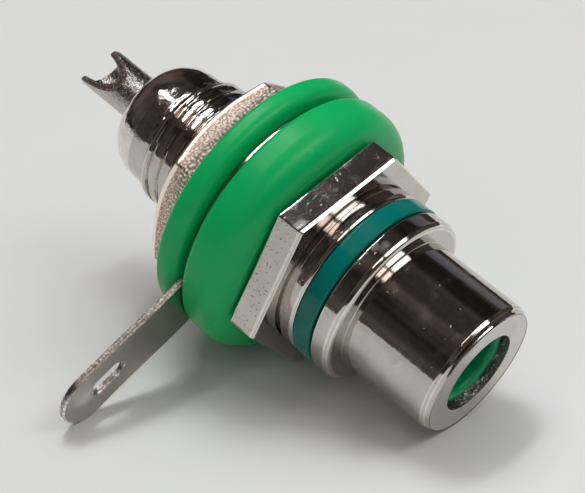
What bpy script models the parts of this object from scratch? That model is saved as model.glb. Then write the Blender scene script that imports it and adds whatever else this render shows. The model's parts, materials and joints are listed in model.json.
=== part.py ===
"""RCA chassis socket with a colour ring, two insulating washers, a solder tag and a nut.

Every piece is built along the socket's own axis: local +Z points out of the mouth, the centre of
the mouth's face is the local origin, and "behind" means towards local -Z. One empty then lays the
whole socket on the ground, on the rim of its nose, the front washer and the tip of the tag.
"""

import math

import bpy
import bmesh
from mathutils import Matrix, Vector

MM = 0.001

# Clearances
FIT_GAP = 0.05 * MM  # radial, between pieces that sit inside one another
STACK_GAP = 0.05 * MM  # along the axis, between pieces that are clamped face to face
SLEEVE_CLEARANCE = 0.1 * MM  # radial, between the contact's sleeve and the front insulator
CONTACT_COLLAR_CLEARANCE = 0.5 * MM  # radial, between the contact's collar and the shell

# Nose and collar of the shell, from the mouth backwards
NOSE_DIAMETER = 8.3 * MM
NOSE_LENGTH = 6.2 * MM
NOSE_CHAMFER_WIDTH = 0.25 * MM
NOSE_CHAMFER_LENGTH = 0.45 * MM
COLLAR_DIAMETER = 10.6 * MM
COLLAR_CHAMFER = 0.28 * MM
COLLAR_FRONT_LENGTH = 1.35 * MM
GROOVE_WIDTH = 1.28 * MM
GROOVE_DEPTH = 0.55 * MM
COLLAR_REAR_LENGTH = 1.12 * MM
UNDERCUT_WIDTH = 0.2 * MM
UNDERCUT_DEPTH = 0.2 * MM

# Hexagonal flange of the shell
FLANGE_ACROSS_FLATS = 12.5 * MM
FLANGE_THICKNESS = 1.9 * MM
FLANGE_BEVEL = 0.18 * MM
FLANGE_TURN = math.radians(44.4)

# Threaded shank of the shell, with its rolled rear end
SHANK_WALL = 0.85 * MM  # around the rear bore, where the shank is plain
THREAD_HEIGHT = 0.35 * MM  # the thread's crests stand this far above the plain shank
THREAD_BEHIND_NUT = 3.2 * MM
THREAD_CHAMFER = 0.3 * MM
ROLLED_LENGTH = 3.4 * MM
ROLLED_ROUNDING = 2.1 * MM
ROLLED_WALL = 0.6 * MM
REAR_BORE_STEP = 0.5 * MM  # the rear bore is wider than the mouth by this, on the radius
REAR_BORE_START = 9.0 * MM  # behind the mouth's face

# Coloured band
BAND_PROUD = 0.04 * MM

# Centre contact: slotted sleeve in front, solder cup behind
SLEEVE_SETBACK = 2.2 * MM
SLEEVE_DIAMETER = 3.7 * MM
SLEEVE_WALL = 0.3 * MM
SLEEVE_FLOOR = 1.5 * MM  # solid length between the sleeve's bore and the contact's collar
SLEEVE_SLOT_WIDTH = 0.35 * MM
SLEEVE_SLOT_LENGTH = 4.5 * MM
CONTACT_COLLAR_THICKNESS = 0.8 * MM
CUP_DIAMETER = 2.86 * MM
CUP_WALL = 0.33 * MM
CUP_BORE_DEPTH = 4.0 * MM
CUP_PROJECTION = 5.0 * MM  # behind the shell's rolled end
SCOOP_RADIUS = 5.0 * MM
SCOOP_FLOOR = 0.68 * MM  # from the cup's axis to the lowest line of the scooped opening
SCOOP_CENTRE_FROM_END = 0.6 * MM
CUP_TURN = math.radians(46.0)

# Insulators
FRONT_INSULATOR_SETBACK = 0.55 * MM
FRONT_INSULATOR_WALL = 0.5 * MM
FRONT_INSULATOR_FOOT = 1.6 * MM  # thickness of its foot, which sits in the rear bore
REAR_INSULATOR_SETBACK = 0.5 * MM  # its boss stays this far inside the rolled end
REAR_INSULATOR_WALL = 0.57 * MM  # of its boss, around the cup's stem

# Washers
WASHER_DIAMETER = 16.0 * MM
WASHER_FRONT_ROUNDING = 1.2 * MM
WASHER_REAR_ROUNDING = 0.4 * MM
WASHER_RIM = 0.3 * MM  # least length of plain rim between the two roundings
WASHER_HOLE_ROUNDING = 0.3 * MM
WASHER_HOLE_CLEARANCE = 0.3 * MM  # radial, around the thread
FRONT_WASHER_THICKNESS = 3.0 * MM
REAR_WASHER_THICKNESS = 1.5 * MM

# Solder tag
TAG_THICKNESS = 0.4 * MM
TAG_RING_WIDTH = 1.85 * MM
TAG_SHIFT = 0.55 * MM  # the loose ring hangs this far off the axis
TONGUE_WIDTH = 3.8 * MM
TONGUE_REACH = 16.9 * MM  # from the socket's axis to the tip
TONGUE_FILLET = 0.8 * MM
TAG_SLOT_LENGTH = 2.5 * MM
TAG_SLOT_WIDTH = 1.2 * MM
TAG_SLOT_TO_TIP = 2.1 * MM

# Nut
NUT_WALL = 1.7 * MM  # from its bore to its flats
NUT_THICKNESS = 2.4 * MM
NUT_BEVEL = 0.12 * MM
NUT_CHAMFER_WIDTH = 0.25 * MM  # of the cone on its rear edge, at the middle of a flat
NUT_CHAMFER_ANGLE = math.radians(30.0)
NUT_TURN = math.radians(56.0)

# Fineness of the round surfaces
STEPS = 48
SMALL_STEPS = 32
CORNER_STEPS = 6
ROLLED_STEPS = 8

CUTTER_PAST = 1.0 * MM  # cutters reach this far past the faces they open

# Radii that follow from the sizes above
nose_radius = NOSE_DIAMETER / 2
collar_radius = COLLAR_DIAMETER / 2
groove_radius = collar_radius - GROOVE_DEPTH
sleeve_radius = SLEEVE_DIAMETER / 2
cup_radius = CUP_DIAMETER / 2
front_insulator_hole = sleeve_radius + SLEEVE_CLEARANCE
rear_insulator_hole = cup_radius + FIT_GAP
mouth_radius = front_insulator_hole + FRONT_INSULATOR_WALL + FIT_GAP
rear_bore_radius = mouth_radius + REAR_BORE_STEP
rear_hole_radius = rear_insulator_hole + REAR_INSULATOR_WALL + FIT_GAP
contact_collar_radius = rear_bore_radius - CONTACT_COLLAR_CLEARANCE
rolled_radius = rear_bore_radius + SHANK_WALL
thread_radius = rolled_radius + THREAD_HEIGHT
washer_radius = WASHER_DIAMETER / 2
tongue_half_width = TONGUE_WIDTH / 2
tag_hole_radius = thread_radius + TAG_SHIFT + FIT_GAP
tag_ring_radius = tag_hole_radius + TAG_RING_WIDTH
nut_bore_radius = thread_radius + FIT_GAP
nut_across_flats = 2 * (nut_bore_radius + NUT_WALL)

# Places along the axis that follow from them, as distances behind the mouth's face
groove_start = NOSE_LENGTH + COLLAR_FRONT_LENGTH
groove_end = groove_start + GROOVE_WIDTH
flange_start = groove_end + COLLAR_REAR_LENGTH
flange_end = flange_start + FLANGE_THICKNESS
front_washer_start = flange_end + STACK_GAP
tag_start = front_washer_start + FRONT_WASHER_THICKNESS + STACK_GAP
rear_washer_start = tag_start + TAG_THICKNESS + STACK_GAP
nut_start = rear_washer_start + REAR_WASHER_THICKNESS + STACK_GAP
thread_end = nut_start + NUT_THICKNESS + THREAD_BEHIND_NUT
shell_end = thread_end + ROLLED_LENGTH
cup_end = shell_end + CUP_PROJECTION
rounding_start = shell_end - min(ROLLED_ROUNDING, ROLLED_LENGTH)
front_insulator_end = REAR_BORE_START + STACK_GAP + FRONT_INSULATOR_FOOT
contact_collar_start = front_insulator_end + STACK_GAP
rear_insulator_start = contact_collar_start + CONTACT_COLLAR_THICKNESS + STACK_GAP
sleeve_bottom = contact_collar_start - SLEEVE_FLOOR
rear_bore_end = shell_end - ROLLED_WALL
rear_taper_start = rear_bore_end - ROLLED_ROUNDING / 2


def clear_scene():
    for obj in list(bpy.data.objects):
        bpy.data.objects.remove(obj, do_unlink=True)


def new_collection(name):
    collection = bpy.data.collections.new(name)
    bpy.context.scene.collection.children.link(collection)
    return collection


def material(name, colour, roughness, metallic):
    """A plain Principled material."""
    made = bpy.data.materials.new(name)
    made.use_nodes = True
    shader = made.node_tree.nodes["Principled BSDF"]
    shader.inputs["Base Color"].default_value = (*colour, 1.0)
    shader.inputs["Roughness"].default_value = roughness
    shader.inputs["Metallic"].default_value = metallic
    return made


def arc(centre_radius, centre_place, radius, start, end, steps=CORNER_STEPS):
    """Points of a rounded corner in a profile, as (radius, distance behind the origin).

    The angles are in degrees: 0 points away from the axis and 90 points backwards.
    """
    angles = [math.radians(start + (end - start) * i / steps) for i in range(steps + 1)]
    return [
        (centre_radius + radius * math.cos(a), centre_place + radius * math.sin(a)) for a in angles
    ]


def turned(name, profile, collection, steps=STEPS, closed=True):
    """A turned solid: the profile, which runs down its outer side, spun about local Z.

    It starts half a facet round from +X, so that a flat facet faces the ground and not an edge.
    """
    mesh = bpy.data.meshes.new(name)
    start = math.pi / steps
    points = [
        (radius * math.cos(start), radius * math.sin(start), -place) for radius, place in profile
    ]
    edges = [(i, i + 1) for i in range(len(points) - 1)]
    if closed:
        edges.append((len(points) - 1, 0))
    mesh.from_pydata(points, edges, [])
    obj = bpy.data.objects.new(name, mesh)
    collection.objects.link(obj)
    screw = obj.modifiers.new("turn", "SCREW")
    screw.axis = "Z"
    screw.angle = math.tau
    screw.steps = steps
    screw.render_steps = steps
    screw.use_merge_vertices = True
    screw.merge_threshold = 0.000001
    screw.use_smooth_shade = True
    return obj


def linked_object(name, shape, collection):
    """Puts a bmesh into a new object and frees it."""
    mesh = bpy.data.meshes.new(name)
    shape.to_mesh(mesh)
    shape.free()
    obj = bpy.data.objects.new(name, mesh)
    collection.objects.link(obj)
    return obj


def prism(name, sides, radius, length, collection, place=Matrix()):
    """A regular prism about local Z, its middle at the local origin unless it is placed."""
    shape = bmesh.new()
    bmesh.ops.create_cone(
        shape,
        cap_ends=True,
        segments=sides,
        radius1=radius,
        radius2=radius,
        depth=length,
        matrix=place,
    )
    return linked_object(name, shape, collection)


def box(name, sides, collection):
    shape = bmesh.new()
    bmesh.ops.create_cube(shape, size=1.0, matrix=Matrix.Diagonal((*sides, 1.0)))
    return linked_object(name, shape, collection)


def hexagon(name, across_flats, thickness, bevel, collection):
    """A hexagonal plate with broken edges, its front face at local z = 0 and a corner on +X."""
    place = Matrix.Translation((0, 0, -thickness / 2)) @ Matrix.Rotation(math.pi / 2, 4, "Z")
    obj = prism(name, 6, across_flats / math.sqrt(3), thickness, collection, place)
    edges = obj.modifiers.new("broken edges", "BEVEL")
    edges.width = bevel
    edges.segments = 2
    return obj


def boolean(target, other, operation):
    change = target.modifiers.new(f"{operation.lower()} {other.name}", "BOOLEAN")
    change.operation = operation
    change.object = other


def hide_cutter(obj):
    obj.hide_render = True
    obj.display_type = "WIRE"


def finish_piece(obj, look, parent, behind=0.0, turn=0.0):
    """Gives the piece its material and sets it on the axis, turned about it."""
    obj.data.materials.append(look)
    obj.parent = parent
    obj.location = (0, 0, -behind)
    obj.rotation_euler = (0, 0, turn)


def make_shell(parts, cutters, look, parent):
    """Nose, collar, hexagonal flange and shank: one turned and plated piece."""
    angles = [math.pi / 2 * i / ROLLED_STEPS for i in range(ROLLED_STEPS + 1)]
    rolled_end = [
        (
            rear_hole_radius + (rolled_radius - rear_hole_radius) * math.cos(a),
            rounding_start + (shell_end - rounding_start) * math.sin(a),
        )
        for a in angles
    ]
    shank_start = (flange_start + flange_end) / 2  # inside the flange, which covers it
    blank = turned(
        "shell",
        [
            (0, 0),
            (nose_radius - NOSE_CHAMFER_WIDTH, 0),
            (nose_radius, NOSE_CHAMFER_LENGTH),
            (nose_radius, NOSE_LENGTH),
            (collar_radius - COLLAR_CHAMFER, NOSE_LENGTH),
            (collar_radius, NOSE_LENGTH + COLLAR_CHAMFER),
            (collar_radius, groove_start - COLLAR_CHAMFER / 2),
            (collar_radius - COLLAR_CHAMFER / 2, groove_start),
            (groove_radius, groove_start),
            (groove_radius, groove_end),
            (collar_radius - COLLAR_CHAMFER / 2, groove_end),
            (collar_radius, groove_end + COLLAR_CHAMFER / 2),
            (collar_radius, flange_start - UNDERCUT_WIDTH),
            (collar_radius - UNDERCUT_DEPTH, flange_start - UNDERCUT_WIDTH),
            (collar_radius - UNDERCUT_DEPTH, shank_start),
            (thread_radius, shank_start),
            (thread_radius, thread_end - THREAD_CHAMFER),
            (rolled_radius, thread_end),
            *rolled_end,
            (0, shell_end),
        ],
        parts,
        closed=False,
    )
    flange = hexagon(
        "flange_blank", FLANGE_ACROSS_FLATS, FLANGE_THICKNESS, FLANGE_BEVEL, cutters
    )
    flange.parent = parent
    flange.location = (0, 0, -flange_start)
    flange.rotation_euler = (0, 0, FLANGE_TURN)
    bore = turned(
        "shell_bore",
        [
            (0, -CUTTER_PAST),
            (mouth_radius, -CUTTER_PAST),
            (mouth_radius, REAR_BORE_START),
            (rear_bore_radius, REAR_BORE_START),
            (rear_bore_radius, rear_taper_start),
            (rear_hole_radius, rear_bore_end),
            (rear_hole_radius, shell_end + CUTTER_PAST),
            (0, shell_end + CUTTER_PAST),
        ],
        cutters,
        closed=False,
    )
    bore.parent = parent
    for cutter in (flange, bore):
        hide_cutter(cutter)
    boolean(blank, flange, "UNION")
    boolean(blank, bore, "DIFFERENCE")
    finish_piece(blank, look, parent)


def make_colour_band(parts, look, parent):
    """Closed plastic band that fills the collar's groove."""
    inner = groove_radius + FIT_GAP
    outer = collar_radius + BAND_PROUD
    start = groove_start + FIT_GAP
    end = groove_end - FIT_GAP
    corner = (outer - inner) / 4
    profile = [
        (inner, start),
        *arc(outer - corner, start + corner, corner, -90, 0, 3),
        *arc(outer - corner, end - corner, corner, 0, 90, 3),
        (inner, end),
    ]
    band = turned("colour_ring", profile, parts)
    finish_piece(band, look, parent)


def make_front_insulator(parts, look, parent):
    """Plastic tube in the nose, with a foot behind the step of the bore."""
    outer = mouth_radius - FIT_GAP
    foot = rear_bore_radius - FIT_GAP
    step = REAR_BORE_START + STACK_GAP
    hole = front_insulator_hole
    tube = turned(
        "front_insulator",
        [
            (hole, FRONT_INSULATOR_SETBACK),
            (outer, FRONT_INSULATOR_SETBACK),
            (outer, step),
            (foot, step),
            (foot, front_insulator_end),
            (hole, front_insulator_end),
        ],
        parts,
    )
    finish_piece(tube, look, parent)


def make_centre_contact(parts, cutters, look, parent):
    """Slotted sleeve for the plug's pin, a collar between the insulators, and the solder cup."""
    collar_end = contact_collar_start + CONTACT_COLLAR_THICKNESS
    sleeve_bore = sleeve_radius - SLEEVE_WALL
    cup_bore = cup_radius - CUP_WALL
    contact = turned(
        "centre_contact",
        [
            (0, sleeve_bottom),
            (sleeve_bore, sleeve_bottom),
            (sleeve_bore, SLEEVE_SETBACK),
            (sleeve_radius, SLEEVE_SETBACK),
            (sleeve_radius, contact_collar_start),
            (contact_collar_radius, contact_collar_start),
            (contact_collar_radius, collar_end),
            (cup_radius, collar_end),
            (cup_radius, cup_end),
            (cup_bore, cup_end),
            (cup_bore, cup_end - CUP_BORE_DEPTH),
            (0, cup_end - CUP_BORE_DEPTH),
        ],
        parts,
        steps=SMALL_STEPS,
        closed=False,
    )
    for i in range(2):
        slot = box(
            f"sleeve_slot_{i + 1}",
            (SLEEVE_DIAMETER * 2, SLEEVE_SLOT_WIDTH, SLEEVE_SLOT_LENGTH * 2),
            cutters,
        )
        slot.parent = parent
        slot.location = (0, 0, -SLEEVE_SETBACK)
        slot.rotation_euler = (0, 0, CUP_TURN + math.pi / 4 + math.pi / 2 * i)
        hide_cutter(slot)
        boolean(contact, slot, "DIFFERENCE")
    scoop = prism("cup_scoop", STEPS * 2, SCOOP_RADIUS, CUP_DIAMETER * 2, cutters)
    scoop.parent = parent
    opening = Vector((math.cos(CUP_TURN), math.sin(CUP_TURN), 0))
    scoop.location = opening * (SCOOP_FLOOR + SCOOP_RADIUS) - Vector(
        (0, 0, cup_end - SCOOP_CENTRE_FROM_END)
    )
    scoop.rotation_euler = (math.pi / 2, 0, CUP_TURN)
    hide_cutter(scoop)
    boolean(contact, scoop, "DIFFERENCE")
    finish_piece(contact, look, parent)


def make_rear_insulator(parts, look, parent):
    """Plastic bush that centres the contact and is held by the shell's rolled end."""
    outer = rear_bore_radius - FIT_GAP
    hole = rear_insulator_hole
    shoulder = rear_taper_start - STACK_GAP
    boss = rear_hole_radius - FIT_GAP
    taper_end = rear_bore_end - STACK_GAP
    bush = turned(
        "rear_insulator",
        [
            (hole, rear_insulator_start),
            (outer, rear_insulator_start),
            (outer, shoulder),
            (boss, taper_end),
            (boss, shell_end - REAR_INSULATOR_SETBACK),
            (hole, shell_end - REAR_INSULATOR_SETBACK),
        ],
        parts,
    )
    finish_piece(bush, look, parent)


def washer_rounding(thickness):
    """The front edge's rounding, which leaves room for the rim and the rear edge's."""
    return min(WASHER_FRONT_ROUNDING, thickness - WASHER_REAR_ROUNDING - WASHER_RIM)


def make_washer(name, thickness, behind, parts, look, parent):
    """Thick insulating washer with a full, soft front edge and a tighter rear one."""
    hole = thread_radius + WASHER_HOLE_CLEARANCE
    front = washer_rounding(thickness)
    rear = WASHER_REAR_ROUNDING
    lip = WASHER_HOLE_ROUNDING
    profile = [
        *arc(washer_radius - front, front, front, -90, 0),
        *arc(washer_radius - rear, thickness - rear, rear, 0, 90, 3),
        *arc(hole + lip, thickness - lip, lip, 90, 180, 2),
        *arc(hole + lip, lip, lip, 180, 270, 2),
    ]
    finish_piece(turned(name, profile, parts), look, parent, behind)


def outline(curve, points):
    spline = curve.splines.new("POLY")
    spline.points.add(len(points) - 1)
    for spot, (x, y) in zip(spline.points, points):
        spot.co = (x, y, 0, 1)
    spline.use_cyclic_u = True


def round_points(x, y, radius, start, end, steps):
    angles = [start + (end - start) * i / steps for i in range(steps + 1)]
    return [(x + radius * math.cos(a), y + radius * math.sin(a)) for a in angles]


def make_solder_tag(parts, look, parent, turn):
    """Stamped ring with a long slotted tongue, which lies along the tag's own +X."""
    ring = tag_ring_radius
    y = -TAG_SHIFT
    reach = TONGUE_REACH - tongue_half_width
    root_side = tongue_half_width + TONGUE_FILLET
    fillet_x = math.sqrt((ring + TONGUE_FILLET) ** 2 - root_side**2)
    root_angle = math.atan2(root_side, fillet_x)
    slot_half = TAG_SLOT_WIDTH / 2
    slot_end = TONGUE_REACH - TAG_SLOT_TO_TIP - slot_half
    slot_start = slot_end - TAG_SLOT_LENGTH + TAG_SLOT_WIDTH
    curve = bpy.data.curves.new("solder_tag", "CURVE")
    curve.dimensions = "2D"
    curve.fill_mode = "BOTH"
    curve.extrude = TAG_THICKNESS / 2
    quarter = math.pi / 2
    outline(
        curve,
        [
            *round_points(0, y, ring, root_angle, math.tau - root_angle, STEPS),
            *round_points(
                fillet_x, y - root_side, TONGUE_FILLET, math.pi - root_angle, quarter, 3
            )[1:],
            *round_points(reach, y, tongue_half_width, -quarter, quarter, STEPS // 2),
            *round_points(
                fillet_x, y + root_side, TONGUE_FILLET, -quarter, root_angle - math.pi, 3
            )[:-1],
        ],
    )
    outline(curve, round_points(0, y, tag_hole_radius, 0, math.tau, STEPS)[:-1])
    outline(
        curve,
        [
            *round_points(slot_end, y, slot_half, -quarter, quarter, CORNER_STEPS * 2),
            *round_points(slot_start, y, slot_half, quarter, 3 * quarter, CORNER_STEPS * 2),
        ],
    )
    tag = bpy.data.objects.new("solder_tag", curve)
    parts.objects.link(tag)
    finish_piece(tag, look, parent, tag_start + TAG_THICKNESS / 2, turn)


def make_nut(parts, cutters, look, parent):
    """Nut with a coned rear edge and a plain bore: its thread has no clearance worth modelling."""
    nut = hexagon("hex_nut", nut_across_flats, NUT_THICKNESS, NUT_BEVEL, parts)
    cone_start = nut_across_flats / 2 - NUT_CHAMFER_WIDTH
    cone_end = nut_across_flats
    cone_drop = (cone_end - cone_start) * math.tan(NUT_CHAMFER_ANGLE)
    cone = turned(
        "nut_chamfer",
        [
            (cone_start, NUT_THICKNESS),
            (cone_end, NUT_THICKNESS - cone_drop),
            (cone_end, NUT_THICKNESS + CUTTER_PAST),
            (cone_start, NUT_THICKNESS + CUTTER_PAST),
        ],
        cutters,
    )
    cone.parent = nut
    hide_cutter(cone)
    boolean(nut, cone, "DIFFERENCE")
    hole = turned(
        "nut_bore",
        [
            (0, -NUT_THICKNESS),
            (nut_bore_radius, -NUT_THICKNESS),
            (nut_bore_radius, NUT_THICKNESS * 2),
            (0, NUT_THICKNESS * 2),
        ],
        cutters,
        closed=False,
    )
    hole.parent = nut
    hide_cutter(hole)
    boolean(nut, hole, "DIFFERENCE")
    finish_piece(nut, look, parent, nut_start, NUT_TURN)


def resting_tilt():
    """How far the nose points down when the nose's rim and the front washer touch the ground."""
    rounding = washer_rounding(FRONT_WASHER_THICKNESS)
    centre_radius = washer_radius - rounding
    centre_place = front_washer_start + rounding
    run = centre_place - NOSE_CHAMFER_LENGTH
    rise = centre_radius - nose_radius
    # The washer's corner is an arc, so its centre stands one rounding above the ground.
    return math.atan2(rise, run) + math.asin(rounding / math.hypot(run, rise))


def tongue_turn(tilt):
    """Turn of the tag, from straight up, at which the tip of its tongue touches the ground."""
    reach = TONGUE_REACH - tongue_half_width
    drop = nose_radius + (tag_start - NOSE_CHAMFER_LENGTH) * math.tan(tilt) - tongue_half_width
    return math.acos(-drop / math.hypot(reach, TAG_SHIFT)) + math.atan2(TAG_SHIFT, reach)


def lay_down(rest, tilt, parts):
    """Lays the socket down, its mouth towards -Y, with the middle of its base at the origin."""
    out = Vector((0, -math.cos(tilt), -math.sin(tilt)))
    up = Vector((0, -math.sin(tilt), math.cos(tilt)))
    side = out.cross(up)
    rest.matrix_world = Matrix((up, side, out)).transposed().to_4x4()
    bpy.context.view_layer.update()
    graph = bpy.context.evaluated_depsgraph_get()
    corners = []
    for obj in parts.objects:
        if obj.data is None:
            continue
        mesh_owner = obj.evaluated_get(graph)
        mesh = mesh_owner.to_mesh()
        corners.extend(mesh_owner.matrix_world @ vertex.co for vertex in mesh.vertices)
        mesh_owner.to_mesh_clear()
    low = Vector(min(corner[i] for corner in corners) for i in range(3))
    high = Vector(max(corner[i] for corner in corners) for i in range(3))
    rest.location = (-(low.x + high.x) / 2, -(low.y + high.y) / 2, -low.z)


def main():
    clear_scene()
    parts = new_collection("rca_socket")
    cutters = new_collection("rca_socket_cutters")
    nickel = material("nickel", (0.62, 0.58, 0.54), 0.18, 1.0)
    rough_nickel = material("sheared_nickel", (0.70, 0.62, 0.57), 0.42, 1.0)
    green = material("green_plastic", (0.01, 0.36, 0.12), 0.35, 0.0)
    teal = material("teal_plastic", (0.0, 0.17, 0.14), 0.25, 0.0)
    rest = bpy.data.objects.new("socket_rest", None)
    parts.objects.link(rest)
    tilt = resting_tilt()
    make_shell(parts, cutters, nickel, rest)
    make_colour_band(parts, teal, rest)
    make_front_insulator(parts, green, rest)
    make_centre_contact(parts, cutters, nickel, rest)
    make_rear_insulator(parts, green, rest)
    make_washer("front_washer", FRONT_WASHER_THICKNESS, front_washer_start, parts, green, rest)
    make_solder_tag(parts, nickel, rest, tongue_turn(tilt))
    make_washer("rear_washer", REAR_WASHER_THICKNESS, rear_washer_start, parts, green, rest)
    make_nut(parts, cutters, rough_nickel, rest)
    lay_down(rest, tilt, parts)


main()
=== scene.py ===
"""Finish of an RCA chassis socket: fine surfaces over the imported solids, materials and a stage.

Every piece is worked out in the socket's own frame. Its axis runs backwards from the middle of
the mouth's face, "up" is square to the axis and lies over it, and angles are counted from up towards the
side that the tag's tongue leans to. Lengths in the tables below are in millimetres, and meshes are
in metres.
"""

import json
import math

import bpy
import numpy as np
from mathutils import Matrix, Vector, geometry


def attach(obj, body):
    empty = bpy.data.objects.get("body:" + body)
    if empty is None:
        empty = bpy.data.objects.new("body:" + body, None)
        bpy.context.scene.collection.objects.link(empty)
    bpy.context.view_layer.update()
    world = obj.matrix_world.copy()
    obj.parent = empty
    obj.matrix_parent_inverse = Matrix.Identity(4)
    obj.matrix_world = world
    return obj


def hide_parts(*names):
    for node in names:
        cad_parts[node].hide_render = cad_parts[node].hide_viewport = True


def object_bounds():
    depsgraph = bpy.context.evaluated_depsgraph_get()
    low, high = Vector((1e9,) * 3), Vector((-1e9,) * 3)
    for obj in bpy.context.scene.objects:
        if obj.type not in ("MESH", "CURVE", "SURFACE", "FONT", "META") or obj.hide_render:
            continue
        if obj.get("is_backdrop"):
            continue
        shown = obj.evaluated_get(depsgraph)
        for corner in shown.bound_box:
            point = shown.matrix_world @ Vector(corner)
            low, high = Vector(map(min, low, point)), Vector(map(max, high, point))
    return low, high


bl_info = {
    "name": "RCA socket finish",
    "version": (1, 0, 0),
    "blender": (4, 5, 0),
    "location": "3D View > Sidebar > RCA Socket",
    "description": "Builds the finished surfaces, materials and stage of an RCA chassis socket",
    "category": "Object",
}

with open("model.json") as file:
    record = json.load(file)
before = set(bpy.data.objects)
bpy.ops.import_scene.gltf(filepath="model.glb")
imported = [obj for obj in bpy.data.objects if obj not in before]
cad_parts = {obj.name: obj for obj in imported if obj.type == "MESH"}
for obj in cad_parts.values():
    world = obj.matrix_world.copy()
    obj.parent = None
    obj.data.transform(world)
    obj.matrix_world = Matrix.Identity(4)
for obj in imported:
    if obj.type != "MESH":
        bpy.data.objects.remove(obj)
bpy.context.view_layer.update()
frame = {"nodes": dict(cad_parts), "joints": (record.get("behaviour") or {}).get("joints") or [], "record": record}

MM = 0.001
TURN = 2 * math.pi


def unit(vector):
    return vector / np.linalg.norm(vector)


def socket_frame():
    """Middle of the mouth's face and directions up, sideways and rearwards, from the joints."""
    joints = {joint["name"]: joint for joint in frame["joints"]}
    mounts = {mount["name"]: mount for mount in frame["record"]["mounts"]}
    rear = unit(np.array(joints["nut_turn"]["axis"]))
    on_axis = np.array(joints["nut_turn"]["pos_m"])
    rim = np.array(mounts["mouth_rim"]["pos_m"])
    mouth = on_axis + rear * ((rim - on_axis) @ rear)
    up = unit(np.array([0, 0, 1]) - rear * rear[2])
    return mouth, up, np.cross(-rear, up), rear


MOUTH, UP, SIDE, REAR = socket_frame()


def to_world(across, sideways, behind):
    """Millimetres in the socket's frame to metres in the row's frame."""
    across, sideways, behind = np.broadcast_arrays(across, sideways, behind)
    offset = across[..., None] * UP + sideways[..., None] * SIDE + behind[..., None] * REAR
    return MOUTH + offset * MM


def measured(node):
    """(start, end, outer radius, inner radius) of a CAD node about the axis, in millimetres."""
    mesh = frame["nodes"][node].data
    points = np.empty(len(mesh.vertices) * 3, np.float32)
    mesh.vertices.foreach_get("co", points)
    offset = (points.reshape(-1, 3) - MOUTH) / MM
    behind = offset @ REAR
    radius = np.hypot(offset @ UP, offset @ SIDE)
    return behind.min(), behind.max(), radius.max(), radius.min()


# Settings that a user would change


def length_setting(name, description, millimetres):
    return bpy.props.FloatProperty(
        name=name, description=description, default=millimetres * MM, unit="LENGTH"
    )


def colour_setting(name, description, colour):
    return bpy.props.FloatVectorProperty(
        name=name,
        description=description,
        subtype="COLOR",
        size=3,
        min=0.0,
        max=1.0,
        default=colour,
    )


class RCASocketSizes(bpy.types.PropertyGroup):
    """Sizes of the fine forms that the solids leave out."""

    columns: bpy.props.IntProperty(
        name="Columns", description="Faces round the shell", default=282, min=60, step=6
    )
    thread_pitch: length_setting(
        "Thread pitch", "Distance between two turns of the shank's thread", 0.8
    )
    thread_depth: length_setting(
        "Thread depth", "Depth of the thread's groove below its flat crest", 0.16
    )
    thread_groove: length_setting(
        "Thread groove", "Width of the thread's groove at the crest", 0.3
    )
    edge_rounding: length_setting("Edge rounding", "Rounding of the shell's turned edges", 0.05)
    nut_grain: length_setting("Nut grain", "Height of the sandy grain on the nut's flats", 0.018)
    nut_burr: length_setting("Nut burr", "Height of the beads along the nut's front edge", 0.06)
    tag_wave: length_setting(
        "Tag waviness", "How far the tag's tongue strays from a flat sheet", 0.03
    )


class RCASocketFinishes(bpy.types.PropertyGroup):
    """Colours and gloss of the finishes."""

    nickel: colour_setting(
        "Nickel", "Polished nickel plating of the shell, contact and tag", (0.62, 0.575, 0.535)
    )
    nickel_roughness: bpy.props.FloatProperty(
        name="Nickel roughness",
        description="Roughness of the polished plating",
        subtype="FACTOR",
        min=0.0,
        max=1.0,
        default=0.08,
    )
    nut: colour_setting("Nut", "Plating over the nut's coarse flats", (0.74, 0.64, 0.56))
    washer: colour_setting(
        "Washers", "Satin plastic of the two washers", (0.002, 0.42, 0.115)
    )
    ring: colour_setting("Colour ring", "Glossy plastic band in the collar", (0.0, 0.15, 0.128))
    insulator: colour_setting(
        "Insulators", "Plastic inside the mouth and the shank", (0.005, 0.30, 0.11)
    )


class RCASocketStage(bpy.types.PropertyGroup):
    """Camera, floor and light."""

    azimuth: bpy.props.FloatProperty(
        name="Azimuth",
        description="Camera's place round the socket, 0 in front of the mouth",
        subtype="ANGLE",
        default=math.radians(-46.459),
    )
    elevation: bpy.props.FloatProperty(
        name="Elevation",
        description="Camera's height over the floor",
        subtype="ANGLE",
        default=math.radians(31.504),
    )
    roll: bpy.props.FloatProperty(
        name="Roll",
        description="Turn of the camera about its line of sight",
        subtype="ANGLE",
        default=math.radians(-1.397),
    )
    distance: bpy.props.FloatProperty(
        name="Distance",
        description="From the camera to the point that it looks at",
        default=95.43 * MM,
        unit="LENGTH",
    )
    target: bpy.props.FloatVectorProperty(
        name="Target",
        description="Point that the camera looks at",
        size=3,
        subtype="XYZ",
        unit="LENGTH",
        default=(4.078 * MM, -0.529 * MM, 6.0 * MM),
    )
    lens: bpy.props.FloatProperty(
        name="Lens", description="Focal length for a 36 mm wide picture", default=101.6
    )
    floor: colour_setting("Floor", "Colour of the plain floor", (0.74, 0.75, 0.74))
    world: colour_setting(
        "Surroundings",
        "Dim light from all round, which polished metal shows",
        (0.048, 0.038, 0.033),
    )


# Grids


def grid_faces(rows, columns):
    """Quads between neighbours of a grid that closes on itself along both of its directions."""
    row, column = np.meshgrid(np.arange(rows), np.arange(columns), indexing="ij")
    next_row, next_column = (row + 1) % rows, (column + 1) % columns
    corners = (
        row * columns + column,
        row * columns + next_column,
        next_row * columns + next_column,
        next_row * columns + column,
    )
    return np.stack(corners, -1).reshape(-1, 4)


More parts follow.
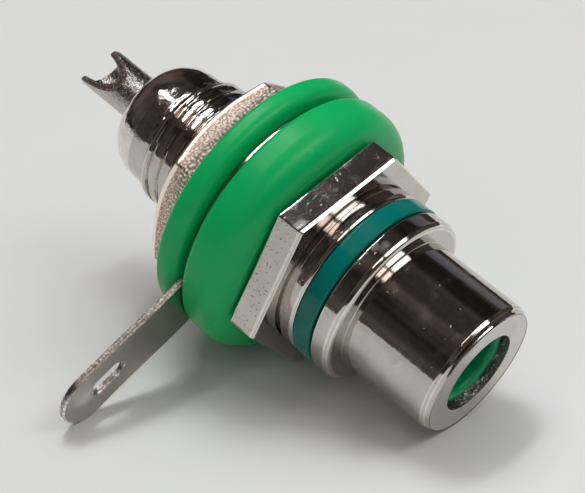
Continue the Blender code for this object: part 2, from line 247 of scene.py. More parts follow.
def grid_uv(along, around):
    """UV of each quad's corners: once round the axis in U, and tenths of a metre along in V.

    along has one value more than the grid has rows, and around one more than it has columns.
    """
    u0, v0 = np.meshgrid(around[:-1], along[:-1])
    u1, v1 = np.meshgrid(around[1:], along[1:])
    corners = np.stack([u0, v0, u1, v0, u1, v1, u0, v1], -1)
    return corners.reshape(-1, 4, 2)


def signed_volume(points, faces):
    """Volume of a closed mesh, as the sum of the tetrahedra from the first point to its quads."""
    corner = points[faces] - points[0]
    halves = np.cross(corner[:, 1], corner[:, 2]) + np.cross(corner[:, 2], corner[:, 3])
    return (corner[:, 0] * halves).sum() / 6


def new_piece(name, points, faces, material, uv=None, masks=None, sharp=40):
    """Puts arrays into a new mesh object, its faces outwards and its edges sharp past an angle."""
    if faces.shape[1] == 4 and signed_volume(points, faces) < 0:
        faces = faces[:, ::-1]
        uv = None if uv is None else uv[:, ::-1]
    mesh = bpy.data.meshes.new(name)
    mesh.from_pydata(points, [], faces)
    if uv is not None:
        mesh.uv_layers.new(name="turned").data.foreach_set("uv", uv.astype(np.float32).ravel())
    for mask, values in (masks or {}).items():
        attribute = mesh.attributes.new(mask, "FLOAT", "POINT")
        attribute.data.foreach_set("value", values.astype(np.float32).ravel())
    mesh.shade_smooth()
    mesh.set_sharp_from_angle(angle=math.radians(sharp))
    mesh.materials.append(material)
    piece = bpy.data.objects.new(name, mesh)
    bpy.context.scene.collection.objects.link(piece)
    return piece


def settle(piece, body, slot, *nodes):
    """Ties a finished piece to its body and hides the solids that it stands for; slot is not used."""
    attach(piece, body)
    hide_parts(*nodes)


def rounded(corners, steps=3, support=0.04):
    """Closed profile through (circle, hexagon, place, rounding) corners, in millimetres.

    A station's radius is its circle plus its hexagon's apothem over the cosine of the angle from
    the nearest flat. Each corner is cut by a circular arc, a rational quadratic curve whose weight
    is the sine of half the corner's angle, and gets one more station on either side of the arc.
    """
    corners = np.array(corners, float)
    point, rounding = corners[:, :3], corners[:, 3:]
    before = np.roll(point, 1, 0) - point
    after = np.roll(point, -1, 0) - point
    before /= np.linalg.norm(before, axis=1, keepdims=True)
    after /= np.linalg.norm(after, axis=1, keepdims=True)
    weight = np.sqrt((1 - (before * after).sum(1)) / 2)[:, None, None]
    s = np.linspace(0, 1, steps + 1)[None, :, None]
    start = (point + before * rounding)[:, None]
    end = (point + after * rounding)[:, None]
    bend = 2 * s * (1 - s) * weight
    arcs = ((1 - s) ** 2 * start + bend * point[:, None] + s**2 * end) / (
        (1 - s) ** 2 + bend + s**2
    )
    lead_in = (point + before * (rounding + support))[:, None]
    lead_out = (point + after * (rounding + support))[:, None]
    return np.concatenate([lead_in, arcs, lead_out], 1).reshape(-1, 3)


def subdivided(profile, spacing):
    """Closed profile with its runs cut into equal steps no longer than each run's spacing."""
    step = np.roll(profile, -1, 0) - profile
    count = np.maximum(1, np.ceil(np.linalg.norm(step, axis=1) / spacing)).astype(int)
    run = np.repeat(np.arange(len(profile)), count)
    share = (np.arange(count.sum()) - np.repeat(np.cumsum(count) - count, count)) / count[run]
    return profile[run] + step[run] * share[:, None]


def convex(profile):
    """1 where a closed profile bends outwards, and 0 elsewhere."""
    flat = np.stack([profile[:, 0] + profile[:, 1], profile[:, 2]], 1)
    before, after = flat - np.roll(flat, 1, 0), np.roll(flat, -1, 0) - flat
    turning = before[:, 0] * after[:, 1] - before[:, 1] * after[:, 0]
    area = (flat[:, 0] * np.roll(flat[:, 1], -1) - np.roll(flat[:, 0], -1) * flat[:, 1]).sum()
    return (turning * np.sign(area) > 1e-6).astype(float)


def hexagon_radius(angle, turn, sharpness=250.0):
    """Radius of a hexagon of apothem 1 with slightly rounded corners.

    It is one over the power mean of the cosines of the angles from the two nearest flats.
    """
    fold = np.abs((angle - turn) % (TURN / 6) - TURN / 12)
    near, far = np.cos(fold), np.cos(TURN / 6 - fold)
    return (near**sharpness + far**sharpness) ** (-1 / sharpness)


def crowded_angles(count, turn, crowding=0.72):
    """Angles once round, closer together at the corners of a hexagon turned by an angle."""
    even = np.arange(count) / count * TURN
    return even - crowding / 6 * np.sin(6 * (even - turn))


def lathe(name, profile, angles, material, radius_change=None, hexagon=None, masks=None):
    """A turned piece: a closed profile of (circle, hexagon, place) carried round the axis.

    radius_change(angle, place) is added to the radius, and hexagon is the hexagon's turn.
    """
    angle = angles[None, :]
    circle, flats, place = (profile[:, i, None] for i in range(3))
    radius = circle + flats * hexagon_radius(angle, hexagon or 0.0)
    if radius_change is not None:
        radius = radius + radius_change(angle, place)
    points = to_world(radius * np.cos(angle), radius * np.sin(angle), place)
    size = np.linalg.norm(np.roll(profile, -1, 0) - profile, axis=1)
    along = np.concatenate([[0], np.cumsum(size)]) / 100
    around = np.append(angles, angles[0] + TURN) / TURN
    spread = {
        key: np.broadcast_to(np.reshape(values, (len(profile), -1)), radius.shape)
        for key, values in {"edge": convex(profile), **(masks or {})}.items()
    }
    faces = grid_faces(*radius.shape)
    return new_piece(
        name, points.reshape(-1, 3), faces, material, grid_uv(along, around), spread
    )


def smooth_noise(u, v, cells_u, cells_v, seed):
    """Values from -1 to 1 that change smoothly over u and v from 0 to 1, and repeat at u = 1.

    Random values on a lattice are blended by cubic steps.
    """
    lattice = np.random.default_rng(seed).uniform(-1, 1, (cells_v + 2, cells_u))
    x, y = (u % 1.0) * cells_u, np.clip(v, 0, 1) * cells_v
    i, j = np.floor(x).astype(int) % cells_u, np.floor(y).astype(int)
    s, t = x - np.floor(x), y - np.floor(y)
    s, t = s * s * (3 - 2 * s), t * t * (3 - 2 * t)
    right = (i + 1) % cells_u
    low = lattice[j, i] * (1 - s) + lattice[j, right] * s
    high = lattice[j + 1, i] * (1 - s) + lattice[j + 1, right] * s
    return low * (1 - t) + high * t


def ease(value):
    """Smooth step of a value from 0 to 1."""
    value = np.clip(value, 0, 1)
    return value * value * (3 - 2 * value)


# Sizes of the shell, from the mouth backwards, in millimetres

NOSE_RADIUS = 4.15
NOSE_LENGTH = 6.2
COLLAR_RADIUS = 5.3
COLLAR_CHAMFER = 0.28
GROOVE_START, GROOVE_END = 7.55, 8.83
GROOVE_RADIUS = 4.75
FLANGE_START, FLANGE_END = 9.95, 11.85
FLANGE_APOTHEM = 6.25
FLANGE_BEVEL = 0.18
FLANGE_TURN = math.radians(44.4)
UNDERCUT = 0.2
THREAD_RADIUS = 4.2
THREAD_END = 22.55
THREAD_CHAMFER = 0.3
SHANK_RADIUS = 3.85
ROLLED_START = 23.85
SHELL_END = 25.95
REAR_HOLE = 2.1
MOUTH_RADIUS = 2.5
REAR_BORE = 3.0
REAR_BORE_START = 9.0
REAR_BORE_END = 25.35
REAR_TAPER_START = 24.3
SHANK_SHOWN_FROM = 19.35  # the nut's rear face: the thread in front of it needs fewer rows
TURNED_BEVEL = math.tan(math.radians(25.0))  # slope of the worn bevels on the edges to the mouth
CREST_BARREL = 0.018  # drop of the thread's crest, if it were as wide as the pitch
DRAWN_IN_FROM = 22.85  # behind this place the rolled end already narrows by a slight slope
DRAWN_IN_SLOPE = 0.06
RUN_OUT_START, RUN_OUT_END = 22.25, 23.0  # where the die has torn the end of the thread
FIT_GAP = 0.05  # between pieces that sit inside one another or against one another


def shell_profile(edge):
    """Stations of the shell: nose, collar, flange, thread, rolled end, and back along the bore."""
    in_groove = COLLAR_RADIUS - COLLAR_CHAMFER / 2
    bevel_apothem = FLANGE_APOTHEM - FLANGE_BEVEL
    outside = rounded(
        [
            (MOUTH_RADIUS, 0, 0, 0.04),
            (NOSE_RADIUS - 0.25, 0, 0, 0.01),
            (NOSE_RADIUS - 0.235, 0, 0.015, 0.01),
            (NOSE_RADIUS - 0.185, 0, 0.135, edge / 2),
            (NOSE_RADIUS - 0.09, 0, 0.27, edge / 2),
            (NOSE_RADIUS, 0, 0.48, edge / 2),
            (NOSE_RADIUS, 0, NOSE_LENGTH, 0.06),
            (COLLAR_RADIUS - COLLAR_CHAMFER, 0, NOSE_LENGTH, edge),
            (COLLAR_RADIUS - 0.22 * TURNED_BEVEL, 0, NOSE_LENGTH + 0.1, edge),
            (COLLAR_RADIUS, 0, NOSE_LENGTH + 0.32, edge),
            (COLLAR_RADIUS, 0, GROOVE_START - COLLAR_CHAMFER / 2, edge),
            (in_groove, 0, GROOVE_START, edge / 2),
            (GROOVE_RADIUS, 0, GROOVE_START, 0.02),
            (GROOVE_RADIUS, 0, GROOVE_END, 0.02),
            (in_groove, 0, GROOVE_END, edge / 2),
            (COLLAR_RADIUS - 0.15 * TURNED_BEVEL, 0, GROOVE_END + 0.05, edge / 2),
            (COLLAR_RADIUS, 0, GROOVE_END + 0.2, edge),
            (COLLAR_RADIUS, 0, FLANGE_START - UNDERCUT, 0.03),
            (COLLAR_RADIUS - UNDERCUT, 0, FLANGE_START - UNDERCUT, 0.02),
            (COLLAR_RADIUS - UNDERCUT, 0, FLANGE_START, 0.02),
            (0, FLANGE_APOTHEM - 0.2 * TURNED_BEVEL, FLANGE_START, edge / 2),
            (0, FLANGE_APOTHEM, FLANGE_START + 0.2, edge),
            (0, FLANGE_APOTHEM, FLANGE_END - FLANGE_BEVEL, edge),
            (0, bevel_apothem, FLANGE_END, edge),
            (THREAD_RADIUS, 0, FLANGE_END, 0.02),
            (THREAD_RADIUS, 0, THREAD_END - THREAD_CHAMFER, 0.05),
            (SHANK_RADIUS, 0, THREAD_END, 0.08),
            (SHANK_RADIUS, 0, ROLLED_START, 0.08),
        ]
    )
    # rounded() closes its profile, and the first corner's lead-in would point along the bore.
    angle = np.linspace(0, math.pi / 2, 18)[1:]
    rolled = np.stack(
        [
            REAR_HOLE + (SHANK_RADIUS - REAR_HOLE) * np.cos(angle),
            np.zeros_like(angle),
            ROLLED_START + (SHELL_END - ROLLED_START) * np.sin(angle),
        ],
        1,
    )
    inside = np.array(
        [
            (REAR_HOLE - 0.03, 0, SHELL_END - 0.05),
            (REAR_HOLE, 0, REAR_BORE_END),
            (REAR_BORE, 0, REAR_TAPER_START),
            (REAR_BORE, 0, REAR_BORE_START),
            (MOUTH_RADIUS, 0, REAR_BORE_START),
            (MOUTH_RADIUS, 0, 0.6),
        ]
    )
    corner_points = 3 + 1 + 2  # of one corner: its arc's and the two beside it
    joint = np.array([(SHANK_RADIUS, 0, ROLLED_START - 0.3), (SHANK_RADIUS, 0, ROLLED_START)])
    return np.concatenate([outside[1:-corner_points], joint, rolled, inside])


def make_shell(sizes, material):
    """The turned shell, with a helical groove for its thread.

    The groove's depth follows the distance from the nearest turn of a helix: full in the middle,
    nothing at the groove's edge, and it fades out where the thread starts and ends. The crest
    between two turns is a shallow barrel: it drops by the square of the distance from its middle.
    Behind the thread, smooth noise tears the surface over half a millimetre, and then the radius
    falls evenly up to the rolled end.
    """
    pitch, groove = sizes.thread_pitch / MM, sizes.thread_groove / MM
    depth = sizes.thread_depth / MM
    profile = shell_profile(sizes.edge_rounding / MM)
    threaded = (np.abs(profile[:, 0] - THREAD_RADIUS) < 1e-6) & (profile[:, 2] > FLANGE_END)
    spacing = np.where(threaded, pitch / 7, 1.6)
    profile = subdivided(profile, spacing)
    shown = (profile[:, 2] > SHANK_SHOWN_FROM) & (profile[:, 2] < ROLLED_START)
    shown &= profile[:, 0] > SHANK_RADIUS - 1e-6
    profile = subdivided(profile, np.where(shown, pitch / 13, 5.0))
    outside = (profile[:, 0] > SHANK_RADIUS - 1e-6) & (profile[:, 1] == 0)
    outside &= profile[:, 2] > FLANGE_END
    on_shank = outside[:, None]
    on_thread = on_shank & (profile[:, 0, None] > SHANK_RADIUS)
    rolled = (profile[:, 2] > THREAD_END) & (profile[:, 0] > REAR_HOLE)
    rolled = rolled[:, None] * ease((profile[:, 2, None] - THREAD_END) / 1.0)
    drawn_in = np.clip(profile[:, 2, None] - DRAWN_IN_FROM, 0, ROLLED_START - DRAWN_IN_FROM)
    drawn_in = drawn_in * DRAWN_IN_SLOPE * ((rolled > 0) | on_shank)
    drawn_in *= np.clip((profile[:, 0, None] - REAR_HOLE) / (SHANK_RADIUS - REAR_HOLE), 0, 1)

    def change(angle, place):
        phase = (place / pitch + angle / TURN) % 1.0
        from_groove = np.abs(phase - 0.5) * pitch
        cut = ease((groove / 2 - from_groove) / (groove / 3))
        fade = ease((place - FLANGE_END - 0.2) / 0.5) * ease((THREAD_END - 0.15 - place) / 0.3)
        barrel = CREST_BARREL * (1 - 2 * from_groove / pitch) ** 2
        hammered = smooth_noise(angle / TURN, (place - 20) / 6, 60, 16, 5) * 0.010
        torn = smooth_noise(angle / TURN, (place - 22) / 2, 120, 12, 6) * 0.025
        run_out = ease((place - RUN_OUT_START) / 0.15) * ease((RUN_OUT_END - place) / 0.3)
        threads = (-depth * cut * fade - barrel) * on_thread
        return threads + hammered * rolled + torn * run_out * on_shank - drawn_in

    angles = crowded_angles(sizes.columns, FLANGE_TURN)
    flats = (profile[:, 1] >= FLANGE_APOTHEM - 1e-6).astype(float)
    bored = (profile[:, 0] <= MOUTH_RADIUS + 0.01) & (profile[:, 1] == 0)
    piece = lathe(
        "shell_turned",
        profile,
        angles,
        material,
        change,
        FLANGE_TURN,
        {"flats": flats, "rolled": rolled[:, 0], "bored": bored.astype(float)},
    )
    settle(piece, "socket", "nickel_plate", "shell")


def even_angles(count):
    return np.arange(count) / count * TURN


def make_colour_ring(material):
    """The closed plastic band: a rectangle with rounded outer corners, turned round the axis."""
    start, end, outer, inner = measured("colour_ring")
    profile = rounded(
        [
            (inner, 0, start, 0.03),
            (outer, 0, start, 0.12),
            (outer, 0, end, 0.12),
            (inner, 0, end, 0.03),
        ],
        steps=5,
    )
    piece = lathe("colour_ring_band", subdivided(profile, 0.5), even_angles(256), material)
    settle(piece, "socket", "ring_plastic", "colour_ring")


def make_insulators(material):
    """The front tube with its foot, and the rear bush, both turned round the axis."""
    start, end, foot, hole = measured("front_insulator")
    tube_radius = MOUTH_RADIUS - FIT_GAP
    step = REAR_BORE_START + FIT_GAP
    front = rounded(
        [
            (hole, 0, start, 0.3),
            (tube_radius, 0, start, 0.1),
            (tube_radius, 0, step, 0.03),
            (foot, 0, step, 0.05),
            (foot, 0, end, 0.1),
            (hole, 0, end, 0.05),
        ]
    )
    piece = lathe("front_insulator_tube", subdivided(front, 0.8), even_angles(160), material)
    settle(piece, "socket", "insulator_plastic", "front_insulator")
    start, end, outer, hole = measured("rear_insulator")
    boss = REAR_HOLE - FIT_GAP
    rear = rounded(
        [
            (hole, 0, start, 0.05),
            (outer, 0, start, 0.1),
            (outer, 0, REAR_TAPER_START - FIT_GAP, 0.05),
            (boss, 0, REAR_BORE_END - FIT_GAP, 0.05),
            (boss, 0, end, 0.08),
            (hole, 0, end, 0.08),
        ]
    )
    piece = lathe("rear_insulator_bush", subdivided(rear, 0.8), even_angles(128), material)
    settle(piece, "socket", "insulator_plastic", "rear_insulator")


WASHER_HOLE_ROUNDING = 0.3
WASHERS = (
    # node, body, seed of its unevenness, rounding of its outer front edge and outer rear edge
    ("front_washer", "socket", 2, 1.7, 0.4),
    ("rear_washer", "washer", 3, 0.8, 0.3),
)


def make_washer(node, body, seed, front, rear, material):
    """A thick washer: a rectangle with a full front corner and a tighter rear one, turned."""
    start, end, outer, inner = measured(node)
    profile = rounded(
        [
            (inner, 0, start, WASHER_HOLE_ROUNDING),
            (outer, 0, start, front),
            (outer, 0, end, rear),
            (inner, 0, end, WASHER_HOLE_ROUNDING),
        ],
        steps=10,
    )

    def uneven(angle, place):
        return smooth_noise(angle / TURN, place - start, 9, 3, seed) * 0.012

    piece = lathe(
        node + "_moulded", subdivided(profile, 0.4), even_angles(288), material, uneven
    )
    settle(piece, body, "washer_plastic", node)


NUT_BORE = 4.25
NUT_APOTHEM = 5.95
NUT_BEVEL = 0.12
NUT_TURN = math.radians(56.0)
NUT_CONE = 5.70  # the rear edge's cone has this radius on the rear face
NUT_CONE_SLOPE = math.tan(math.radians(30.0))
NUT_EDGE = 0.03  # how softly the cone meets the flats
NUT_BAND = 0.32  # length of the smooth band in front of the cone
NUT_BAND_RADIUS = 2.6  # radius to which that band bends down to the cone
NUT_BEADS_END = 18.22  # the flats are beaded in front of this place
NUT_BEAD = 0.27  # length of a bead along the axis
NUT_BEADS_ROUND = 142
NUT_COLUMNS = 900
NUT_SHARPNESS = 120.0  # of the hexagon's corners
NUT_GRAIN_ROUND, NUT_GRAIN_LONG = 260, 17  # cells of the coarser scale of sand


def make_nut(sizes, material):
    """The nut: a hexagon with a coned rear edge, sandy flats and beads towards its front edge.

    Outside, its radius is a soft minimum of the hexagon's and the cone's. In front of the cone the
    flats bend down in a smooth band: by the square of the distance into it over twice its radius.
    The rest of the flats carries two scales of smooth noise, and towards the front face rows of
    beads: a product of squared sines along and round the nut, each shifted by slow noise.
    """
    start, end, _, _ = measured("hex_nut")
    pitch = sizes.thread_pitch / MM
    profile = rounded(
        [
            (NUT_BORE, 0, start, 0.12),
            (0, NUT_APOTHEM - NUT_BEVEL, start, 0.04),
            (0, NUT_APOTHEM, start + NUT_BEVEL, 0.04),
            (0, NUT_APOTHEM, end - 0.05, 0.004),
            (NUT_CONE - 0.04, 0, end, 0.02),
            (NUT_BORE, 0, end, 0.12),
        ],
        steps=3,
        support=0.02,
    )
    on_flat = profile[:, 1] > NUT_APOTHEM - 0.2
    on_flat &= np.roll(on_flat, -1)
    in_bore = (profile[:, 1] == 0) & np.roll(profile[:, 1] == 0, -1)
    profile = subdivided(profile, np.where(on_flat, 0.05, np.where(in_bore, 0.2, 1.0)))
    circle, flats = profile[:, 0, None], profile[:, 1, None]
    outside = flats > NUT_APOTHEM - 0.15
    bore = (circle > 0) & (circle < NUT_BORE + 0.2) & (flats == 0)

    angles = crowded_angles(NUT_COLUMNS, NUT_TURN, 0.3)
    hexagon = hexagon_radius(angles, NUT_TURN, NUT_SHARPNESS)
    full = circle + flats * hexagon
    edge_place = end - (NUT_APOTHEM * hexagon - NUT_CONE) * NUT_CONE_SLOPE
    behind = profile[:, 2, None]
    band = np.clip(behind - edge_place + NUT_BAND, 0, None) * outside
    sandy = outside * ease(1 - band / 0.1)
    around = angles[None] / TURN
    share = (behind - start) / (end - start)
    drift = smooth_noise(around, share, 150, 8, 13)
    beads = np.sin(math.pi * (around * NUT_BEADS_ROUND + 0.5 * drift)) ** 2
    beads = beads * np.sin(math.pi * ((behind - NUT_BEADS_END) / NUT_BEAD + 0.4 * drift)) ** 2
    beads = np.minimum(1.5 * beads, 1)
    beaded = outside * ease((NUT_BEADS_END - behind) / 0.08)

    def change(angle, place):
        coarse = smooth_noise(around, share, NUT_GRAIN_ROUND, NUT_GRAIN_LONG, 11)
        fine = smooth_noise(around, share, 2 * NUT_GRAIN_ROUND, 2 * NUT_GRAIN_LONG, 12)
        grain = (0.5 * coarse + 0.5 * fine) * sizes.nut_grain / MM * (0.15 + 0.85 * sandy)
        lumps = (beads - 0.3) * beaded * sizes.nut_burr / MM
        cone = NUT_CONE + (end - place) / NUT_CONE_SLOPE
        bent = full - np.minimum(band, NUT_BAND) ** 2 / 2 / NUT_BAND_RADIUS
        cut = -NUT_EDGE * np.logaddexp(-bent / NUT_EDGE, -cone / NUT_EDGE)
        cut = np.where(flats > 0, cut, full)
        ridges = -0.04 * (0.5 + 0.5 * np.cos(TURN * (place / pitch + around)))
        sharp = circle + flats * hexagon_radius(angle, NUT_TURN)
        return cut - sharp + (grain + lumps) * outside + ridges * bore

    # tops marks the bead tops, which the nut's material paints with a highlight; where sand is 0, on the smooth
    # band, cone and faces, it paints a lighter highlight
    masks = {"sand": sandy, "tops": beads * beaded, "painted_shade_between_beads": (1 - beads) * beaded}
    piece = lathe("hex_nut_sandy", profile, angles, material, change, NUT_TURN, masks)
    settle(piece, "nut", "nut_plate", "hex_nut")


SLEEVE_SLOT_WIDTH = 0.35
SLEEVE_SLOT_LENGTH = 4.5
SLEEVE_RADIUS, SLEEVE_BORE = 1.85, 1.55
SLEEVE_BOTTOM = 9.2
CONTACT_COLLAR = 2.5
CONTACT_COLLAR_START, CONTACT_COLLAR_END = 10.7, 11.5
CUP_RADIUS, CUP_BORE = 1.43, 1.1
CUP_BORE_DEPTH = 4.0
CUP_TURN = math.radians(45.0)
SCOOP_LOWEST = 3.01  # from the cup's end to the lowest point of the scooped opening
SCOOP_SLOPE = 1.75
SCOOP_BEND = 1.7
HORN_ROUNDING = 0.07
HORN_SLANT = 0.8  # the upper horn is this much shorter than the lower one


def make_contact(material):
    """The centre contact: a slotted sleeve in front, a collar, and a scooped solder cup.

    Its profile is turned round the axis, and the two ends move along it with the angle. The cup
    ends on a parabola over the distance across the cup towards the opening, cut off softly at full
    length. The sleeve starts a slot's length further back between its four fingers.
    """
    start, end, _, _ = measured("centre_contact")
    slot_half = math.asin(SLEEVE_SLOT_WIDTH / 2 / SLEEVE_RADIUS)
    slots = CUP_TURN + math.pi / 4 + np.arange(4) * math.pi / 2
    brink = 0.003
    sides = (slots[:, None] + np.array([-1, 1]) * slot_half)[..., None] + np.array([-brink, brink])
    angles = np.unique(np.round(np.concatenate([even_angles(240), sides.ravel() % TURN]), 6))
    from_slot = np.abs((angles[:, None] - slots + math.pi) % TURN - math.pi).min(1)
    slotted = (from_slot < slot_half).astype(float)
    profile = rounded(
        [
            (SLEEVE_BORE, 0, start, 0.06),
            (SLEEVE_RADIUS, 0, start, 0.08),
            (SLEEVE_RADIUS, 0, CONTACT_COLLAR_START, 0.03),
            (CONTACT_COLLAR, 0, CONTACT_COLLAR_START, 0.05),
            (CONTACT_COLLAR, 0, CONTACT_COLLAR_END, 0.05),
            (CUP_RADIUS, 0, CONTACT_COLLAR_END, 0.05),
            (CUP_RADIUS, 0, end, 0.13),
            (CUP_BORE, 0, end, 0.11),
            (CUP_BORE, 0, end - CUP_BORE_DEPTH, 0.15),
            (0.02, 0, end - CUP_BORE_DEPTH, 0.005),
            (0.02, 0, SLEEVE_BOTTOM, 0.005),
            (SLEEVE_BORE, 0, SLEEVE_BOTTOM, 0.1),
        ],
        steps=3,
        support=0.01,
    )
    on_cup = (profile[:, 2] > CONTACT_COLLAR_END - 0.1) & (profile[:, 0] > 0.5)
    profile = subdivided(profile, np.where(on_cup, 0.12, 0.6))
    place = profile[:, 2, None]
    radius = profile[:, 0, None]
    across = np.minimum(radius, CUP_RADIUS) * np.cos(angles - CUP_TURN)
    short = CUP_RADIUS - across
    scoop = end - SCOOP_LOWEST + SCOOP_SLOPE * short + SCOOP_BEND * short**2
    sideways = np.minimum(radius, CUP_RADIUS) * np.sin(angles - CUP_TURN)
    full = end - HORN_SLANT / 2 * (1 - sideways / CUP_RADIUS)
    scoop = scoop - (end - full) / 2
    cut = -HORN_ROUNDING * np.logaddexp(-scoop / HORN_ROUNDING, -full / HORN_ROUNDING)
    cup_from = end - CUP_BORE_DEPTH + 0.2
    share = np.clip((place - cup_from) / (end - cup_from), 0, None)
    moved = np.where(place > cup_from, cup_from + share * (cut - cup_from), place)
    slot_end = start + SLEEVE_SLOT_LENGTH + 0.5
    share = np.clip((slot_end - place) / (slot_end - start), 0, 1)
    in_sleeve = (place < slot_end) & (radius > 0.5)
    moved = np.where(in_sleeve, moved + share * SLEEVE_SLOT_LENGTH * slotted, moved)
    grain = smooth_noise(angles / TURN, (moved - 25) / 6, 70, 60, 21) * 0.012
    grain = grain * (place > CONTACT_COLLAR_END) * (radius > CUP_RADIUS - 0.1)
    radius = radius + grain
    points = to_world(radius * np.cos(angles), radius * np.sin(angles), moved)
    size = np.linalg.norm(np.roll(profile, -1, 0) - profile, axis=1)
    along = np.concatenate([[0], np.cumsum(size)]) / 100
    around = np.append(angles, angles[0] + TURN) / TURN
    edge = np.broadcast_to(convex(profile)[:, None], radius.shape)
    piece = new_piece(
        "centre_contact_turned",
        points.reshape(-1, 3),
        grid_faces(*radius.shape),
        material,
        grid_uv(along, around),
        {"edge": edge},
    )
    settle(piece, "socket", "contact_plate", "centre_contact")


TAG_RING, TAG_HOLE = 6.65, 4.8
TAG_SHIFT = 0.55
TONGUE_HALF = 1.9
TONGUE_REACH = 16.9
TONGUE_FILLET = 0.8
SLOT_HALF = 0.6
SLOT_LENGTH = 2.5
SLOT_TO_TIP = 2.1
TAG_SPACING = 0.09
NOSE_REST = 0.45  # the nose touches the floor this far behind the mouth's face


def tag_turn():
    """Turn of the tag about the axis at which its tongue's tip touches the floor."""
    start, _, _, _ = measured("solder_tag")
    tilt = math.asin(REAR[2])
    reach = TONGUE_REACH - TONGUE_HALF
    drop = NOSE_RADIUS + (start - NOSE_REST) * math.tan(tilt) - TONGUE_HALF
    return math.acos(-drop / math.hypot(reach, TAG_SHIFT)) + math.atan2(TAG_SHIFT, reach)


def arc(x, y, radius, start, end, count=60):
    angle = np.linspace(start, end, count)
    return np.stack([x + radius * np.cos(angle), y + radius * np.sin(angle)], 1)


def resampled(outline, spacing):
    """Points of a closed outline at equal steps along it."""
    closed = np.vstack([outline, outline[:1]])
    length = np.concatenate([[0], np.cumsum(np.linalg.norm(np.diff(closed, axis=0), axis=1))])
    wanted = np.linspace(0, length[-1], max(12, round(length[-1] / spacing)) + 1)[:-1]
    return np.stack([np.interp(wanted, length, closed[:, i]) for i in range(2)], 1)


def tag_outlines():
    """Outer edge, hole and slot of the tag, each with its material on the left."""
    y = -TAG_SHIFT
    root_side = TONGUE_HALF + TONGUE_FILLET
    fillet_x = math.sqrt((TAG_RING + TONGUE_FILLET) ** 2 - root_side**2)
    root = math.atan2(root_side, fillet_x)
    quarter = math.pi / 2
    tip = TONGUE_REACH - TONGUE_HALF
    outer = np.vstack(
        [
            arc(0, y, TAG_RING, root, TURN - root, 300),
            arc(fillet_x, y - root_side, TONGUE_FILLET, math.pi - root, quarter)[1:],
            arc(tip, y, TONGUE_HALF, -quarter, quarter, 90),
            arc(fillet_x, y + root_side, TONGUE_FILLET, -quarter, root - math.pi)[:-1],
        ]
    )
    far = TONGUE_REACH - SLOT_TO_TIP - SLOT_HALF
    near = far - SLOT_LENGTH + 2 * SLOT_HALF
    hole = arc(0, y, TAG_HOLE, TURN, 0, 300)[:-1]
    slot = np.vstack(
        [arc(far, y, SLOT_HALF, quarter, -quarter), arc(near, y, SLOT_HALF, -quarter, -3 * quarter)]
    )
    return [resampled(line, TAG_SPACING) for line in (outer, hole, slot)]


def outward_normals(outline):
    """Unit normals of an outline that keeps its material on the left."""
    along = np.roll(outline, -1, 0) - np.roll(outline, 1, 0)
    along /= np.linalg.norm(along, axis=1, keepdims=True)
    return np.stack([along[:, 1], -along[:, 0]], 1)


def tag_faces(lips):
    """Triangles between the lip outlines, with loose points in a grid between them."""
    loops = np.vstack(lips)
    counts = np.array([len(lip) for lip in lips])
    first = np.cumsum(counts) - counts
    index = np.arange(len(loops))
    following = index + 1
    following[first + counts - 1] = first
    x, y = np.meshgrid(np.arange(-7, 17, 0.45), np.arange(-8, 7, 0.45))
    loose = np.stack([x + 0.1 * np.sin(y * 7), y], -1).reshape(-1, 2)
    keep = inside_tag(loose, 0.35)
    points = np.vstack([loops, loose[keep]])
    edges = np.stack([index, following], 1)
    made = geometry.delaunay_2d_cdt(points.tolist(), edges.tolist(), [], 1, 1e-7)
    if len(made[0]) != len(points):
        raise RuntimeError("the tag's outlines cross: its flat faces can't be filled")
    faces = np.array(made[2])
    kept = inside_tag(points[faces].mean(1), 0.0)
    return points, faces[kept]


def inside_tag(points, margin):
    """Whether points lie on the tag's material, at least a margin from its edges."""
    x, y = points[:, 0], points[:, 1] + TAG_SHIFT
    ring = np.hypot(x, y)
    tip = TONGUE_REACH - TONGUE_HALF
    on_tongue = (x > 0) & (np.abs(y) < TONGUE_HALF - margin) & (x < tip)
    on_tongue |= np.hypot(x - tip, y) < TONGUE_HALF - margin
    far = TONGUE_REACH - SLOT_TO_TIP - SLOT_HALF
    near = far - SLOT_LENGTH + 2 * SLOT_HALF
    in_slot = np.hypot(x - np.clip(x, near, far), y) < SLOT_HALF + margin
    near_root = (ring < TAG_RING + 1.0) & (margin == 0) & (x > 0) & (np.abs(y) < TONGUE_HALF + 1)
    return (ring > TAG_HOLE + margin) & ((ring < TAG_RING - margin) | on_tongue | near_root) & (
        ~in_slot
    )


